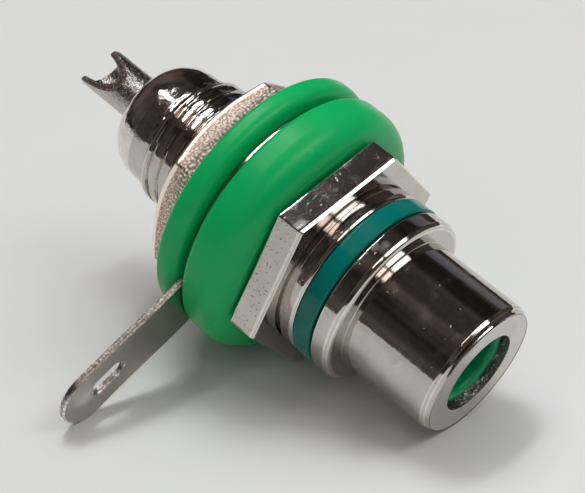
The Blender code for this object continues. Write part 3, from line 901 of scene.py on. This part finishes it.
def make_tag(sizes, material):
    """The stamped tag: its edge's section is carried along each outline, and flat faces fill it.

    The section runs from the rounded front lip over the sheared side to a slightly raised burr.
    Noise along the outline roughens the sheared side, and a slow wave bends the sheet.
    """
    start, end, _, _ = measured("solder_tag")
    half = (end - start) / 2
    section = np.array(
        [
            (0.14, -half),
            (0.09, -half),
            (0.066, -half + 0.008),
            (0.052, -half + 0.022),
            (0.032, -half + 0.065),
            (0.011, -half + 0.11),
            (0.0, -half + 0.135),
            (0.008, half / 5),
            (0.006, half - 0.05),
            (0.01, half - 0.012),
            (0.045, half + 0.008),
            (0.09, half),
            (0.14, half),
        ]
    )
    outlines = tag_outlines()
    lips = [line - outward_normals(line) * section[0, 0] for line in outlines]
    flat, triangles = tag_faces(lips)
    turn = tag_turn()
    parts, faces, masks, lips_lit, first = [], [], [], [], 0
    for number, line in enumerate(outlines):
        normal = outward_normals(line)
        around = np.arange(len(line)) / len(line)
        cells = len(line) // 2
        through = np.linspace(0, 1, len(section))[:, None]
        rough = smooth_noise(around[None, :], through, cells, 5, 30 + number)
        torn = 0.08 + 0.92 * ease((line[:, 0] - TAG_RING + 0.4) / 1.2)  # the ring is smoother
        inset = section[:, :1] + rough * (section[:, :1] < 0.03) * 0.014 * torn
        ring = line[None] - normal[None] * inset[..., None]
        height = np.broadcast_to(section[:, 1:2], inset.shape)
        parts.append(np.concatenate([ring, height[..., None]], -1).reshape(-1, 3))
        row, column = np.meshgrid(np.arange(len(section) - 1), np.arange(len(line)), indexing="ij")
        following = (column + 1) % len(line)
        quads = np.stack(
            [
                row * len(line) + column,
                row * len(line) + following,
                (row + 1) * len(line) + following,
                (row + 1) * len(line) + column,
            ],
            -1,
        ).reshape(-1, 4)
        faces.append(quads[:, ::-1] + first)
        # rows of the sheared side, which the tag's material gives torn grain on a base darkened as a painted
        # reflection of a dark room
        masks.append(((section[:, :1] < 0.07) * torn).ravel())
        # rows of the rounded front lip, which the tag's material paints lighter as a painted highlight
        rolled_over = (np.abs(section[:, :1] - 0.045) < 0.035) & (section[:, 1:] < 0)
        lips_lit.append(np.repeat(rolled_over[:, 0], len(line)))
        first += parts[-1].shape[0]
    counts = [len(line) for line in outlines]
    starts = np.concatenate([[0], np.cumsum([count * len(section) for count in counts])])
    front_lip = np.concatenate([starts[i] + np.arange(counts[i]) for i in range(3)])
    rear_lip = np.concatenate(
        [starts[i] + (len(section) - 1) * counts[i] + np.arange(counts[i]) for i in range(3)]
    )
    loose = flat[len(front_lip) :]
    for height, lip, flip in ((-half, front_lip, True), (half, rear_lip, False)):
        inner = np.column_stack([loose, np.full(len(loose), height)])
        index = np.concatenate([lip, first + np.arange(len(loose))])
        cap = index[triangles]
        faces.append(cap[:, ::-1] if flip else cap)
        parts.append(inner)
        masks.append(np.zeros(len(loose)))
        lips_lit.append(np.zeros(len(loose)))
        first += len(loose)
    local = np.vstack(parts)
    x, y = local[:, 0], local[:, 1]
    wave = np.sin(x * 0.55 + 0.4) * ease((x - 6.5) / 4) * sizes.tag_wave / MM
    behind = (start + end) / 2 + local[:, 2] + wave
    points = to_world(
        x * math.cos(turn) - y * math.sin(turn), x * math.sin(turn) + y * math.cos(turn), behind
    )
    mesh = bpy.data.meshes.new("solder_tag_stamped")
    mesh.from_pydata(points, [], [face for block in faces for face in block.tolist()])
    for label, values in (("edge", masks), ("lip", lips_lit)):
        attribute = mesh.attributes.new(label, "FLOAT", "POINT")
        attribute.data.foreach_set("value", np.concatenate(values).astype(np.float32))
    mesh.shade_smooth()
    mesh.set_sharp_from_angle(angle=math.radians(50))
    mesh.materials.append(material)
    piece = bpy.data.objects.new("solder_tag_stamped", mesh)
    bpy.context.scene.collection.objects.link(piece)
    settle(piece, "tag", "tag_plate", "solder_tag")


# Effects shared by several materials


def new_node(tree, kind, inputs=None, **settings):
    """Adds a node, sets its attributes, and fills its sockets with values or links."""
    node = tree.nodes.new(kind)
    for key, value in settings.items():
        setattr(node, key, value)
    for key, value in (inputs or {}).items():
        if isinstance(value, bpy.types.NodeSocket):
            tree.links.new(value, node.inputs[key])
        else:
            node.inputs[key].default_value = value
    return node


def new_group(name, inputs, outputs):
    """An empty shader node group with its sockets: (name, socket type, default or None)."""
    tree = bpy.data.node_groups.new(name, "ShaderNodeTree")
    for label, kind, default in inputs:
        socket = tree.interface.new_socket(label, in_out="INPUT", socket_type=kind)
        if default is not None:
            socket.default_value = default
    for label, kind in outputs:
        tree.interface.new_socket(label, in_out="OUTPUT", socket_type=kind)
    return tree, tree.nodes.new("NodeGroupInput").outputs, tree.nodes.new("NodeGroupOutput").inputs


def turning_marks_group():
    """Fine rings left by a lathe tool. Noise is read on a thin ring, so it closes on itself."""
    tree, given, made = new_group(
        "turning_marks",
        [
            ("UV", "NodeSocketVector", None),
            ("Lines per mm", "NodeSocketFloat", 8.0),
            ("Break up", "NodeSocketFloat", 0.3),
        ],
        [("Height", "NodeSocketFloat"), ("Streaks", "NodeSocketFloat")],
    )
    parts = new_node(tree, "ShaderNodeSeparateXYZ", {0: given["UV"]})
    angle = new_node(tree, "ShaderNodeMath", {0: parts.outputs[0], 1: TURN}, operation="MULTIPLY")
    sine = new_node(tree, "ShaderNodeMath", {0: angle.outputs[0]}, operation="SINE")
    cosine = new_node(tree, "ShaderNodeMath", {0: angle.outputs[0]}, operation="COSINE")
    place = new_node(tree, "ShaderNodeMath", {0: parts.outputs[1], 1: 100.0}, operation="MULTIPLY")
    lines = new_node(
        tree,
        "ShaderNodeMath",
        {0: place.outputs[0], 1: given["Lines per mm"]},
        operation="MULTIPLY",
    )
    ring = new_node(tree, "ShaderNodeCombineXYZ", {0: cosine.outputs[0], 1: sine.outputs[0]})
    scaled = new_node(
        tree, "ShaderNodeVectorMath", {0: ring.outputs[0], 3: given["Break up"]}, operation="SCALE"
    )
    along = new_node(tree, "ShaderNodeCombineXYZ", {2: lines.outputs[0]})
    where = new_node(
        tree, "ShaderNodeVectorMath", {0: scaled.outputs[0], 1: along.outputs[0]}, operation="ADD"
    )
    noise = new_node(
        tree,
        "ShaderNodeTexNoise",
        {"Vector": where.outputs[0], "Scale": 1.0, "Detail": 4.0, "Roughness": 0.65},
    )
    streaks = new_node(
        tree,
        "ShaderNodeMapRange",
        {"Value": noise.outputs[0], "From Min": 0.35, "From Max": 0.7},
        interpolation_type="SMOOTHSTEP",
    )
    tree.links.new(noise.outputs[0], made["Height"])
    tree.links.new(streaks.outputs[0], made["Streaks"])
    return tree


def pits_group():
    """Small pits and specks: cells of a Voronoi pattern, of which only a share is open."""
    tree, given, made = new_group(
        "pits",
        [
            ("Coordinates", "NodeSocketVector", None),
            ("Size", "NodeSocketFloat", 0.12),
            ("Share", "NodeSocketFloat", 0.4),
        ],
        [("Mask", "NodeSocketFloat"), ("Height", "NodeSocketFloat")],
    )
    scale = new_node(tree, "ShaderNodeMath", {0: 1.0, 1: given["Size"]}, operation="DIVIDE")
    cells = new_node(
        tree, "ShaderNodeTexVoronoi", {"Vector": given["Coordinates"], "Scale": scale.outputs[0]}
    )
    chosen = new_node(tree, "ShaderNodeSeparateColor", {0: cells.outputs["Color"]})
    size = new_node(tree, "ShaderNodeMath", {0: chosen.outputs[1], 1: 0.45}, operation="MULTIPLY")
    depth = new_node(
        tree,
        "ShaderNodeMath",
        {0: size.outputs[0], 1: cells.outputs["Distance"]},
        operation="SUBTRACT",
    )
    dent = new_node(
        tree,
        "ShaderNodeMapRange",
        {"Value": depth.outputs[0], "From Min": 0.0, "From Max": 0.12},
        interpolation_type="SMOOTHSTEP",
    )
    open_cell = new_node(
        tree, "ShaderNodeMath", {0: chosen.outputs[0], 1: given["Share"]}, operation="LESS_THAN"
    )
    mask = new_node(
        tree, "ShaderNodeMath", {0: dent.outputs[0], 1: open_cell.outputs[0]}, operation="MULTIPLY"
    )
    height = new_node(tree, "ShaderNodeMath", {0: 1.0, 1: mask.outputs[0]}, operation="SUBTRACT")
    tree.links.new(mask.outputs[0], made["Mask"])
    tree.links.new(height.outputs[0], made["Height"])
    return tree


def grain_group():
    """Irregular grain: noise of one size, with its contrast raised for a mask of its tops."""
    tree, given, made = new_group(
        "grain",
        [
            ("Coordinates", "NodeSocketVector", None),
            ("Size", "NodeSocketFloat", 0.1),
            ("Threshold", "NodeSocketFloat", 0.5),
        ],
        [("Height", "NodeSocketFloat"), ("Tops", "NodeSocketFloat")],
    )
    scale = new_node(tree, "ShaderNodeMath", {0: 1.0, 1: given["Size"]}, operation="DIVIDE")
    noise = new_node(
        tree,
        "ShaderNodeTexNoise",
        {
            "Vector": given["Coordinates"],
            "Scale": scale.outputs[0],
            "Detail": 3.0,
            "Roughness": 0.6,
        },
    )
    above = new_node(
        tree, "ShaderNodeMath", {0: noise.outputs[0], 1: given["Threshold"]}, operation="SUBTRACT"
    )
    tops = new_node(
        tree,
        "ShaderNodeMapRange",
        {"Value": above.outputs[0], "From Min": -0.05, "From Max": 0.08},
        interpolation_type="SMOOTHSTEP",
    )
    tree.links.new(noise.outputs[0], made["Height"])
    tree.links.new(tops.outputs[0], made["Tops"])
    return tree


def edge_wear_group():
    """Where an edge is lighter: the mesh's edge mask, eaten into by noise. On the shell it is rubbed wear; on the
    contact it is partly wear and partly a painted highlight.
    """
    tree, given, made = new_group(
        "edge_wear",
        [
            ("Coordinates", "NodeSocketVector", None),
            ("Edge", "NodeSocketFloat", 0.0),
            ("Patchiness", "NodeSocketFloat", 0.5),
        ],
        [("Mask", "NodeSocketFloat")],
    )
    noise = new_node(
        tree, "ShaderNodeTexNoise", {"Vector": given["Coordinates"], "Scale": 2.2, "Detail": 3.0}
    )
    worn = new_node(
        tree,
        "ShaderNodeMapRange",
        {"Value": noise.outputs[0], "From Min": 0.35, "From Max": 0.65},
    )
    patchy = new_node(
        tree,
        "ShaderNodeMix",
        {0: given["Patchiness"], 2: 1.0, 3: worn.outputs[0]},
    )
    mask = new_node(
        tree, "ShaderNodeMath", {0: given["Edge"], 1: patchy.outputs[0]}, operation="MULTIPLY"
    )
    tree.links.new(mask.outputs[0], made["Mask"])
    return tree


class Finish:
    """One material while it is built: its tree, its shader and millimetre object coordinates."""

    def __init__(self, name):
        self.material = bpy.data.materials.new(name)
        self.material.use_nodes = True
        self.tree = self.material.node_tree
        self.shader = self.tree.nodes["Principled BSDF"]
        place = new_node(self.tree, "ShaderNodeTexCoord")
        mapping = new_node(self.tree, "ShaderNodeMapping", {"Vector": place.outputs["Object"]})
        mapping.inputs["Scale"].default_value = (1000, 1000, 1000)
        self.coordinates = mapping.outputs[0]
        self.uv = place.outputs["UV"]

    def add(self, kind, inputs=None, **settings):
        return new_node(self.tree, kind, inputs, **settings)

    def use(self, effect, **values):
        """Places a shared effect, with spaces in its socket names written as underscores."""
        inputs = {key.replace("_", " "): value for key, value in values.items()}
        group = self.add("ShaderNodeGroup", node_tree=bpy.data.node_groups[effect])
        for key, value in inputs.items():
            if isinstance(value, bpy.types.NodeSocket):
                self.tree.links.new(value, group.inputs[key])
            else:
                group.inputs[key].default_value = value
        return group.outputs

    def mask(self, name):
        return self.add("ShaderNodeAttribute", attribute_name=name).outputs["Fac"]

    def math(self, operation, a, b):
        return self.add("ShaderNodeMath", {0: a, 1: b}, operation=operation).outputs[0]

    def blend(self, share, low, high):
        """Colour that goes from low to high."""
        made = self.add("ShaderNodeMix", data_type="RGBA")
        for key, value in ((0, share), (6, low), (7, high)):
            if isinstance(value, bpy.types.NodeSocket):
                self.tree.links.new(value, made.inputs[key])
            elif key == 0:
                made.inputs[key].default_value = value
            else:
                made.inputs[key].default_value = (*value, 1.0)
        return made.outputs[2]

    def range(self, value, low, high):
        """A value from 0 to 1 mapped to a range."""
        made = self.add("ShaderNodeMapRange", {"Value": value, "To Min": low, "To Max": high})
        return made.outputs[0]

    def bump(self, height, distance, below=None):
        """Normal of a height whose full range is a distance in millimetres."""
        node = self.add("ShaderNodeBump", {"Height": height, "Distance": distance * MM})
        if below is not None:
            self.tree.links.new(below, node.inputs["Normal"])
        return node.outputs[0]

    def feed(self, **sockets):
        """Links or sets the shader's sockets."""
        for key, value in sockets.items():
            socket = self.shader.inputs[key.replace("_", " ")]
            if isinstance(value, bpy.types.NodeSocket):
                self.tree.links.new(value, socket)
            else:
                socket.default_value = value


def shade(colour, factor):
    return tuple(channel * factor for channel in colour)


def shell_finish(finishes):
    """Polished nickel: turning marks, dull bands and smudges, specks, worn edges, pitted flats, and a bore wall
    with painted shade and painted glints.
    """
    finish = Finish("shell_nickel")
    colour = tuple(finishes.nickel)
    marks = finish.use("turning_marks", UV=finish.uv, Lines_per_mm=9.0, Break_up=0.35)
    bands = finish.use("turning_marks", UV=finish.uv, Lines_per_mm=1.1, Break_up=1.2)
    smudges = finish.use("grain", Coordinates=finish.coordinates, Size=1.3, Threshold=0.5)
    specks = finish.use("pits", Coordinates=finish.coordinates, Size=0.2, Share=0.1)
    pits = finish.use("pits", Coordinates=finish.coordinates, Size=0.12, Share=0.35)
    chatter_and_painted_glints = finish.use("grain", Coordinates=finish.coordinates, Size=0.22, Threshold=0.6)
    bored = finish.mask("bored")
    worn = finish.use(
        "edge_wear", Coordinates=finish.coordinates, Edge=finish.mask("edge"), Patchiness=0.4
    )
    on_flats = finish.math("MULTIPLY", pits["Mask"], finish.mask("flats"))
    dull = finish.math("MULTIPLY", bands["Streaks"], smudges["Tops"])
    base = finish.blend(smudges["Tops"], shade(colour, 0.84), colour)
    base = finish.blend(bands["Streaks"], shade(colour, 0.92), base)
    base = finish.blend(on_flats, base, shade(colour, 0.6))
    base = finish.blend(worn["Mask"], base, shade(colour, 1.35))
    # painted shade: the bore wall's base is darkened as shade in the recess, with painted glints on the chatter's
    # tops
    bore_painted_shade_and_glints = finish.blend(chatter_and_painted_glints["Tops"], shade(colour, 0.34), shade(colour, 1.5))
    base = finish.blend(bored, base, bore_painted_shade_and_glints)
    rough = finish.range(dull, finishes.nickel_roughness, finishes.nickel_roughness + 0.1)
    rough = finish.math("ADD", rough, finish.math("MULTIPLY", on_flats, 0.08))
    rough = finish.math("ADD", rough, finish.math("MULTIPLY", bored, 0.25))
    peel = finish.use("grain", Coordinates=finish.coordinates, Size=0.7, Threshold=0.5)
    normal = finish.bump(peel["Height"], 0.006)
    normal = finish.bump(marks["Height"], 0.0009, normal)
    hammer = finish.use("grain", Coordinates=finish.coordinates, Size=0.22, Threshold=0.5)
    hammered = finish.math("MULTIPLY", hammer["Height"], finish.mask("rolled"))
    normal = finish.bump(hammered, 0.010, normal)
    normal = finish.bump(finish.math("MULTIPLY", chatter_and_painted_glints["Height"], bored), 0.12, normal)
    normal = finish.bump(specks["Mask"], 0.004, normal)
    normal = finish.bump(on_flats, -0.008, normal)
    finish.feed(Base_Color=base, Roughness=rough, Metallic=1.0, Normal=normal)
    return finish.material


def tag_finish(finishes):
    """Rolled sheet with nickel plating; its sheared edges carry torn grain on a base darkened as a painted dark
    reflection, and its front lip a speckled painted highlight.
    """
    finish = Finish("tag_nickel")
    colour = shade(finishes.nickel, 0.95)
    edge = finish.mask("edge")
    smudges = finish.use("grain", Coordinates=finish.coordinates, Size=1.1, Threshold=0.52)
    torn = finish.use("grain", Coordinates=finish.coordinates, Size=0.14, Threshold=0.52)
    lip = finish.mask("lip")
    base = finish.blend(smudges["Height"], shade(colour, 0.85), colour)
    # sheared side: torn grain, its base darkened as a painted reflection of a dark room
    sheared = finish.blend(torn["Tops"], shade(colour, 0.5), shade(colour, 1.2))
    base = finish.blend(edge, base, sheared)
    # front lip painted lighter with specks: a painted highlight
    lip_painted_highlight = finish.blend(torn["Tops"], shade(colour, 0.9), shade(colour, 1.6))
    base = finish.blend(lip, base, lip_painted_highlight)
    rough = finish.range(smudges["Height"], 0.06, 0.16)
    rough = finish.math("ADD", rough, finish.math("MULTIPLY", edge, 0.24))
    normal = finish.bump(finish.math("MULTIPLY", edge, torn["Height"]), 0.02)
    normal = finish.bump(smudges["Height"], 0.006, normal)
    finish.feed(Base_Color=base, Roughness=rough, Metallic=1.0, Normal=normal)
    return finish.material


def nut_finish(finishes):
    """Coarse plated brass: sandy flats with browner hollows, partly tarnish and partly painted shade; smooth edges
    painted lighter as a highlight; bead tops with a painted highlight and painted shade between the beads.
    """
    finish = Finish("nut_nickel")
    colour = tuple(finishes.nut)
    sand = finish.mask("sand")
    grain = finish.use("grain", Coordinates=finish.coordinates, Size=0.12, Threshold=0.5)
    fine = finish.use("grain", Coordinates=finish.coordinates, Size=0.06, Threshold=0.55)
    tarnish_and_painted_shade = (colour[0] * 0.46, colour[1] * 0.38, colour[2] * 0.35)
    # the grain's hollows are browner: partly tarnish, partly painted shade
    base = finish.blend(grain["Tops"], tarnish_and_painted_shade, colour)
    # painted highlight: the smooth band, cone and faces are painted lighter than the sandy flats
    base = finish.blend(sand, shade(colour, 1.4), base)
    # painted shade between the beads
    base = finish.blend(finish.math("MULTIPLY", finish.mask("painted_shade_between_beads"), 0.7), base, shade(tarnish_and_painted_shade, 0.5))
    # painted highlight on the bead tops
    base = finish.blend(finish.mask("tops"), base, (1.0, 0.93, 0.8))
    rough = finish.math("ADD", 0.3, finish.math("MULTIPLY", sand, 0.02))
    height = finish.math("MULTIPLY", grain["Height"], sand)
    normal = finish.bump(height, 0.02)
    normal = finish.bump(fine["Height"], 0.006, normal)
    # the bead tops are also less metallic, part of their painted highlight
    metallic = finish.math("SUBTRACT", 1.0, finish.math("MULTIPLY", finish.mask("tops"), 0.6))
    finish.feed(Base_Color=base, Roughness=rough, Metallic=metallic, Normal=normal)
    return finish.material


def contact_finish(finishes):
    """Bright nickel over a coarse turned surface, so its highlight breaks into sparks; its rims and horn tips are
    lighter, partly wear and partly a painted highlight.
    """
    finish = Finish("contact_nickel")
    colour = tuple(finishes.nickel)
    marks = finish.use("turning_marks", UV=finish.uv, Lines_per_mm=6.0, Break_up=3.0)
    grain = finish.use("grain", Coordinates=finish.coordinates, Size=0.12, Threshold=0.52)
    worn = finish.use(
        "edge_wear", Coordinates=finish.coordinates, Edge=finish.mask("edge"), Patchiness=0.3
    )
    sparks = finish.use("pits", Coordinates=finish.coordinates, Size=0.13, Share=0.8)
    base = finish.blend(grain["Tops"], shade(colour, 0.72), shade(colour, 1.05))
    # rims and horn tips lighter: partly rubbed wear, partly a painted highlight
    base = finish.blend(worn["Mask"], base, shade(colour, 1.4))
    normal = finish.bump(marks["Height"], 0.006)
    normal = finish.bump(grain["Height"], 0.035, normal)
    normal = finish.bump(sparks["Mask"], 0.012, normal)
    rough = finish.range(grain["Height"], 0.16, 0.34)
    finish.feed(Base_Color=base, Roughness=rough, Metallic=1.0, Normal=normal)
    return finish.material


def plastic_finish(name, colour, roughness, unevenness):
    """Moulded plastic: a slow change of shade, a faint orange-peel skin and small scuffs."""
    finish = Finish(name)
    colour = tuple(colour)
    cloud = finish.use("grain", Coordinates=finish.coordinates, Size=3.0, Threshold=0.5)
    peel = finish.use("grain", Coordinates=finish.coordinates, Size=0.35, Threshold=0.5)
    scuffs = finish.use("pits", Coordinates=finish.coordinates, Size=0.5, Share=0.08)
    base = finish.blend(cloud["Height"], shade(colour, 0.86), shade(colour, 1.12))
    base = finish.blend(
        finish.math("MULTIPLY", scuffs["Mask"], 0.25), base, shade(colour, 1.6)
    )
    rough = finish.range(cloud["Height"], roughness - 0.06, roughness + 0.06)
    rough = finish.math("ADD", rough, finish.math("MULTIPLY", scuffs["Mask"], 0.15))
    normal = finish.bump(peel["Height"], unevenness)
    finish.feed(Base_Color=base, Roughness=rough, Normal=normal, Specular_IOR_Level=0.28)
    return finish.material


# Stage


def look_from(azimuth, elevation):
    """Unit vector from the target towards a camera or a lamp."""
    return Vector(
        (
            math.sin(azimuth) * math.cos(elevation),
            -math.cos(azimuth) * math.cos(elevation),
            math.sin(elevation),
        )
    )


def make_camera(stage):
    back = look_from(stage.azimuth, stage.elevation)
    level = Vector((0, 0, 1)).cross(back).normalized()
    up = back.cross(level)
    right = level * math.cos(stage.roll) + up * math.sin(stage.roll)
    data = bpy.data.cameras.new("camera")
    data.lens = stage.lens
    data.sensor_width = 36.0
    data.clip_start = 0.001
    data.clip_end = 10.0
    camera = bpy.data.objects.new("camera", data)
    axes = Matrix((right, back.cross(right), back)).transposed().to_4x4()
    place = Vector(stage.target) + back * stage.distance
    camera.matrix_world = Matrix.Translation(place) @ axes
    bpy.context.scene.collection.objects.link(camera)
    bpy.context.scene.camera = camera


LAMPS = (
    # name, direction from the socket, distance, width, height, power, colour, seen in reflections
    ("overhead_key", (0.16, 0.30, 0.94), 0.30, 0.13, 0.10, 0.24, (0.98, 0.99, 1.0), False),
    ("overhead_strip", (0.12, 0.215, 0.97), 0.30, 0.085, 0.018, 0.12, (0.88, 0.94, 1.0), True),
    ("warm_strip", (-0.24, 0.205, 0.95), 0.30, 0.105, 0.018, 0.07, (1.0, 0.9, 0.82), True),
    ("rear_spot", (-0.11, 0.37, 0.92), 0.30, 0.022, 0.022, 0.02, (1.0, 0.98, 0.94), True),
    ("front_strip", (0.21, -0.60, 0.77), 0.30, 0.17, 0.07, 0.17, (0.95, 0.98, 1.0), True),
    ("front_warm", (-0.27, -0.60, 0.75), 0.30, 0.08, 0.06, 0.05, (1.0, 0.86, 0.82), True),
    ("window_right", (0.90, 0.20, 0.40), 0.30, 0.16, 0.07, 0.004, (0.6, 0.72, 1.0), True),
    ("fill_left", (-0.75, -0.25, 0.60), 0.40, 0.40, 0.40, 0.28, (1.0, 0.98, 0.96), False),
    ("fill_right", (0.45, -0.15, 0.88), 0.40, 0.40, 0.40, 0.62, (1.0, 1.0, 1.0), False),
)


def make_lamps():
    """Soft rectangular lamps that face the socket."""
    low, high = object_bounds()
    target = Vector((low + high) / 2)
    for name, direction, distance, width, height, power, colour, seen in LAMPS:
        data = bpy.data.lights.new(name, "AREA")
        data.shape = "RECTANGLE"
        data.size, data.size_y = width, height
        data.energy = power
        data.color = colour
        lamp = bpy.data.objects.new(name, data)
        towards = Vector(direction).normalized()
        across = Vector((1, 0, 0))
        across = (across - towards * across.dot(towards)).normalized()
        axes = Matrix((across, towards.cross(across), towards)).transposed().to_4x4()
        lamp.matrix_world = Matrix.Translation(target + towards * distance) @ axes
        lamp.visible_glossy = seen
        bpy.context.scene.collection.objects.link(lamp)


FLOOR_SIDES = 96
FLOOR_RADIUS = 2.0  # metres
GLOW_START, GLOW_FULL = 50.0, 450.0  # millimetres from the middle of the floor


def make_floor(stage):
    """A plain round floor, one face, that glows in its own colour where the lamps don't reach.

    The glow rises smoothly with the distance from the middle, for the eye and in reflections only.
    """
    angle = even_angles(FLOOR_SIDES)
    rim = np.stack([np.cos(angle), np.sin(angle), angle * 0], 1) * FLOOR_RADIUS
    mesh = bpy.data.meshes.new("floor")
    mesh.from_pydata(rim, [], [list(range(FLOOR_SIDES))])
    finish = Finish("floor_paint")
    cloud = finish.use("grain", Coordinates=finish.coordinates, Size=9.0, Threshold=0.5)
    base = finish.blend(cloud["Height"], shade(stage.floor, 0.99), shade(stage.floor, 1.01))
    away = finish.add("ShaderNodeVectorMath", {0: finish.coordinates}, operation="LENGTH")
    glow = finish.add(
        "ShaderNodeMapRange",
        {"Value": away.outputs["Value"], "From Min": GLOW_START, "From Max": GLOW_FULL},
        interpolation_type="SMOOTHSTEP",
    )
    ray = finish.add("ShaderNodeLightPath").outputs
    seen = finish.math("MAXIMUM", ray["Is Camera Ray"], ray["Is Glossy Ray"])
    glow = finish.math("MULTIPLY", glow.outputs[0], seen)
    glow = finish.blend(glow, (0.0, 0.0, 0.0), shade(stage.floor, 0.95))
    finish.feed(Base_Color=base, Roughness=0.7, Emission_Color=glow, Emission_Strength=1.0)
    mesh.materials.append(finish.material)
    floor = bpy.data.objects.new("floor", mesh)
    bpy.context.scene.collection.objects.link(floor)
    floor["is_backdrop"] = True


def make_world(stage):
    """A dim room: its colour drifts softly between a third and twice the one that is set.

    The eye itself sees a backdrop in the floor's colour there.
    """
    world = bpy.data.worlds.new("studio")
    world.use_nodes = True
    tree = world.node_tree
    place = new_node(tree, "ShaderNodeTexCoord")
    drift = new_node(
        tree,
        "ShaderNodeTexNoise",
        {"Vector": place.outputs["Generated"], "Scale": 1.9, "Detail": 3.0, "Roughness": 0.45},
    )
    patches = new_node(
        tree, "ShaderNodeMapRange", {"Value": drift.outputs[0], "From Min": 0.38, "From Max": 0.64}
    )
    dim, bright = (*shade(stage.world, 0.35), 1), (*shade(stage.world, 2.1), 1)
    mixed = new_node(
        tree, "ShaderNodeMix", {0: patches.outputs[0], 6: dim, 7: bright}, data_type="RGBA"
    )
    ray = new_node(tree, "ShaderNodeLightPath")
    shown = new_node(
        tree,
        "ShaderNodeMix",
        {0: ray.outputs["Is Camera Ray"], 6: mixed.outputs[2], 7: (*shade(stage.floor, 0.95), 1)},
        data_type="RGBA",
    )
    background = tree.nodes["Background"]
    tree.links.new(shown.outputs[2], background.inputs["Color"])
    background.inputs["Strength"].default_value = 1.0
    bpy.context.scene.world = world
    bpy.context.scene.view_settings.view_transform = "Standard"


# Operators


class RCASocketShell(bpy.types.Operator):
    """Builds the nickel-plated shell with its thread"""

    bl_idname = "rca_socket.shell"
    bl_label = "Shell"

    def execute(self, context):
        scene = context.scene
        make_shell(scene.rca_socket_sizes, shell_finish(scene.rca_socket_finishes))
        return {"FINISHED"}


class RCASocketPlastics(bpy.types.Operator):
    """Builds the colour ring and the two insulators"""

    bl_idname = "rca_socket.plastics"
    bl_label = "Ring and insulators"

    def execute(self, context):
        finishes = context.scene.rca_socket_finishes
        make_colour_ring(plastic_finish("ring_gloss", finishes.ring, 0.16, 0.002))
        make_insulators(plastic_finish("insulator_satin", finishes.insulator, 0.34, 0.003))
        return {"FINISHED"}


class RCASocketWashers(bpy.types.Operator):
    """Builds the two thick washers"""

    bl_idname = "rca_socket.washers"
    bl_label = "Washers"

    def execute(self, context):
        material = plastic_finish(
            "washer_satin", context.scene.rca_socket_finishes.washer, 0.32, 0.004
        )
        for washer in WASHERS:
            make_washer(*washer, material)
        return {"FINISHED"}


class RCASocketNut(bpy.types.Operator):
    """Builds the nut with its sandy flats and coned rear edge"""

    bl_idname = "rca_socket.nut"
    bl_label = "Nut"

    def execute(self, context):
        scene = context.scene
        make_nut(scene.rca_socket_sizes, nut_finish(scene.rca_socket_finishes))
        return {"FINISHED"}


class RCASocketContact(bpy.types.Operator):
    """Builds the centre contact with its solder cup"""

    bl_idname = "rca_socket.contact"
    bl_label = "Centre contact"

    def execute(self, context):
        make_contact(contact_finish(context.scene.rca_socket_finishes))
        return {"FINISHED"}


class RCASocketTag(bpy.types.Operator):
    """Builds the stamped solder tag"""

    bl_idname = "rca_socket.tag"
    bl_label = "Solder tag"

    def execute(self, context):
        scene = context.scene
        make_tag(scene.rca_socket_sizes, tag_finish(scene.rca_socket_finishes))
        return {"FINISHED"}


class RCASocketStageSet(bpy.types.Operator):
    """Sets the floor, the lamps, the surroundings and the camera"""

    bl_idname = "rca_socket.stage"
    bl_label = "Stage"

    def execute(self, context):
        stage = context.scene.rca_socket_stage
        make_floor(stage)
        make_lamps()
        make_world(stage)
        make_camera(stage)
        return {"FINISHED"}


class RCASocketPanel(bpy.types.Panel):
    """Lists the steps and the settings"""

    bl_idname = "VIEW3D_PT_rca_socket"
    bl_label = "RCA Socket"
    bl_space_type = "VIEW_3D"
    bl_region_type = "UI"
    bl_category = "RCA Socket"

    def draw(self, context):
        scene = context.scene
        for settings in (scene.rca_socket_sizes, scene.rca_socket_finishes, scene.rca_socket_stage):
            box = self.layout.box()
            for name in settings.__annotations__:
                box.prop(settings, name)
        for step in STEPS:
            self.layout.operator(step.bl_idname)


SETTINGS = {
    "rca_socket_sizes": RCASocketSizes,
    "rca_socket_finishes": RCASocketFinishes,
    "rca_socket_stage": RCASocketStage,
}
STEPS = (
    RCASocketShell,
    RCASocketPlastics,
    RCASocketWashers,
    RCASocketNut,
    RCASocketContact,
    RCASocketTag,
    RCASocketStageSet,
)


def register():
    for kind in (*SETTINGS.values(), *STEPS, RCASocketPanel):
        bpy.utils.register_class(kind)
    for name, kind in SETTINGS.items():
        setattr(bpy.types.Scene, name, bpy.props.PointerProperty(type=kind))


def unregister():
    for name in SETTINGS:
        delattr(bpy.types.Scene, name)
    for kind in (RCASocketPanel, *reversed(STEPS), *reversed(SETTINGS.values())):
        bpy.utils.unregister_class(kind)


def main():
    register()
    for make_group in (turning_marks_group, pits_group, grain_group, edge_wear_group):
        make_group()
    bpy.ops.rca_socket.shell()
    bpy.ops.rca_socket.plastics()
    bpy.ops.rca_socket.washers()
    bpy.ops.rca_socket.nut()
    bpy.ops.rca_socket.contact()
    bpy.ops.rca_socket.tag()
    bpy.ops.rca_socket.stage()


if __name__ == "__main__":
    main()
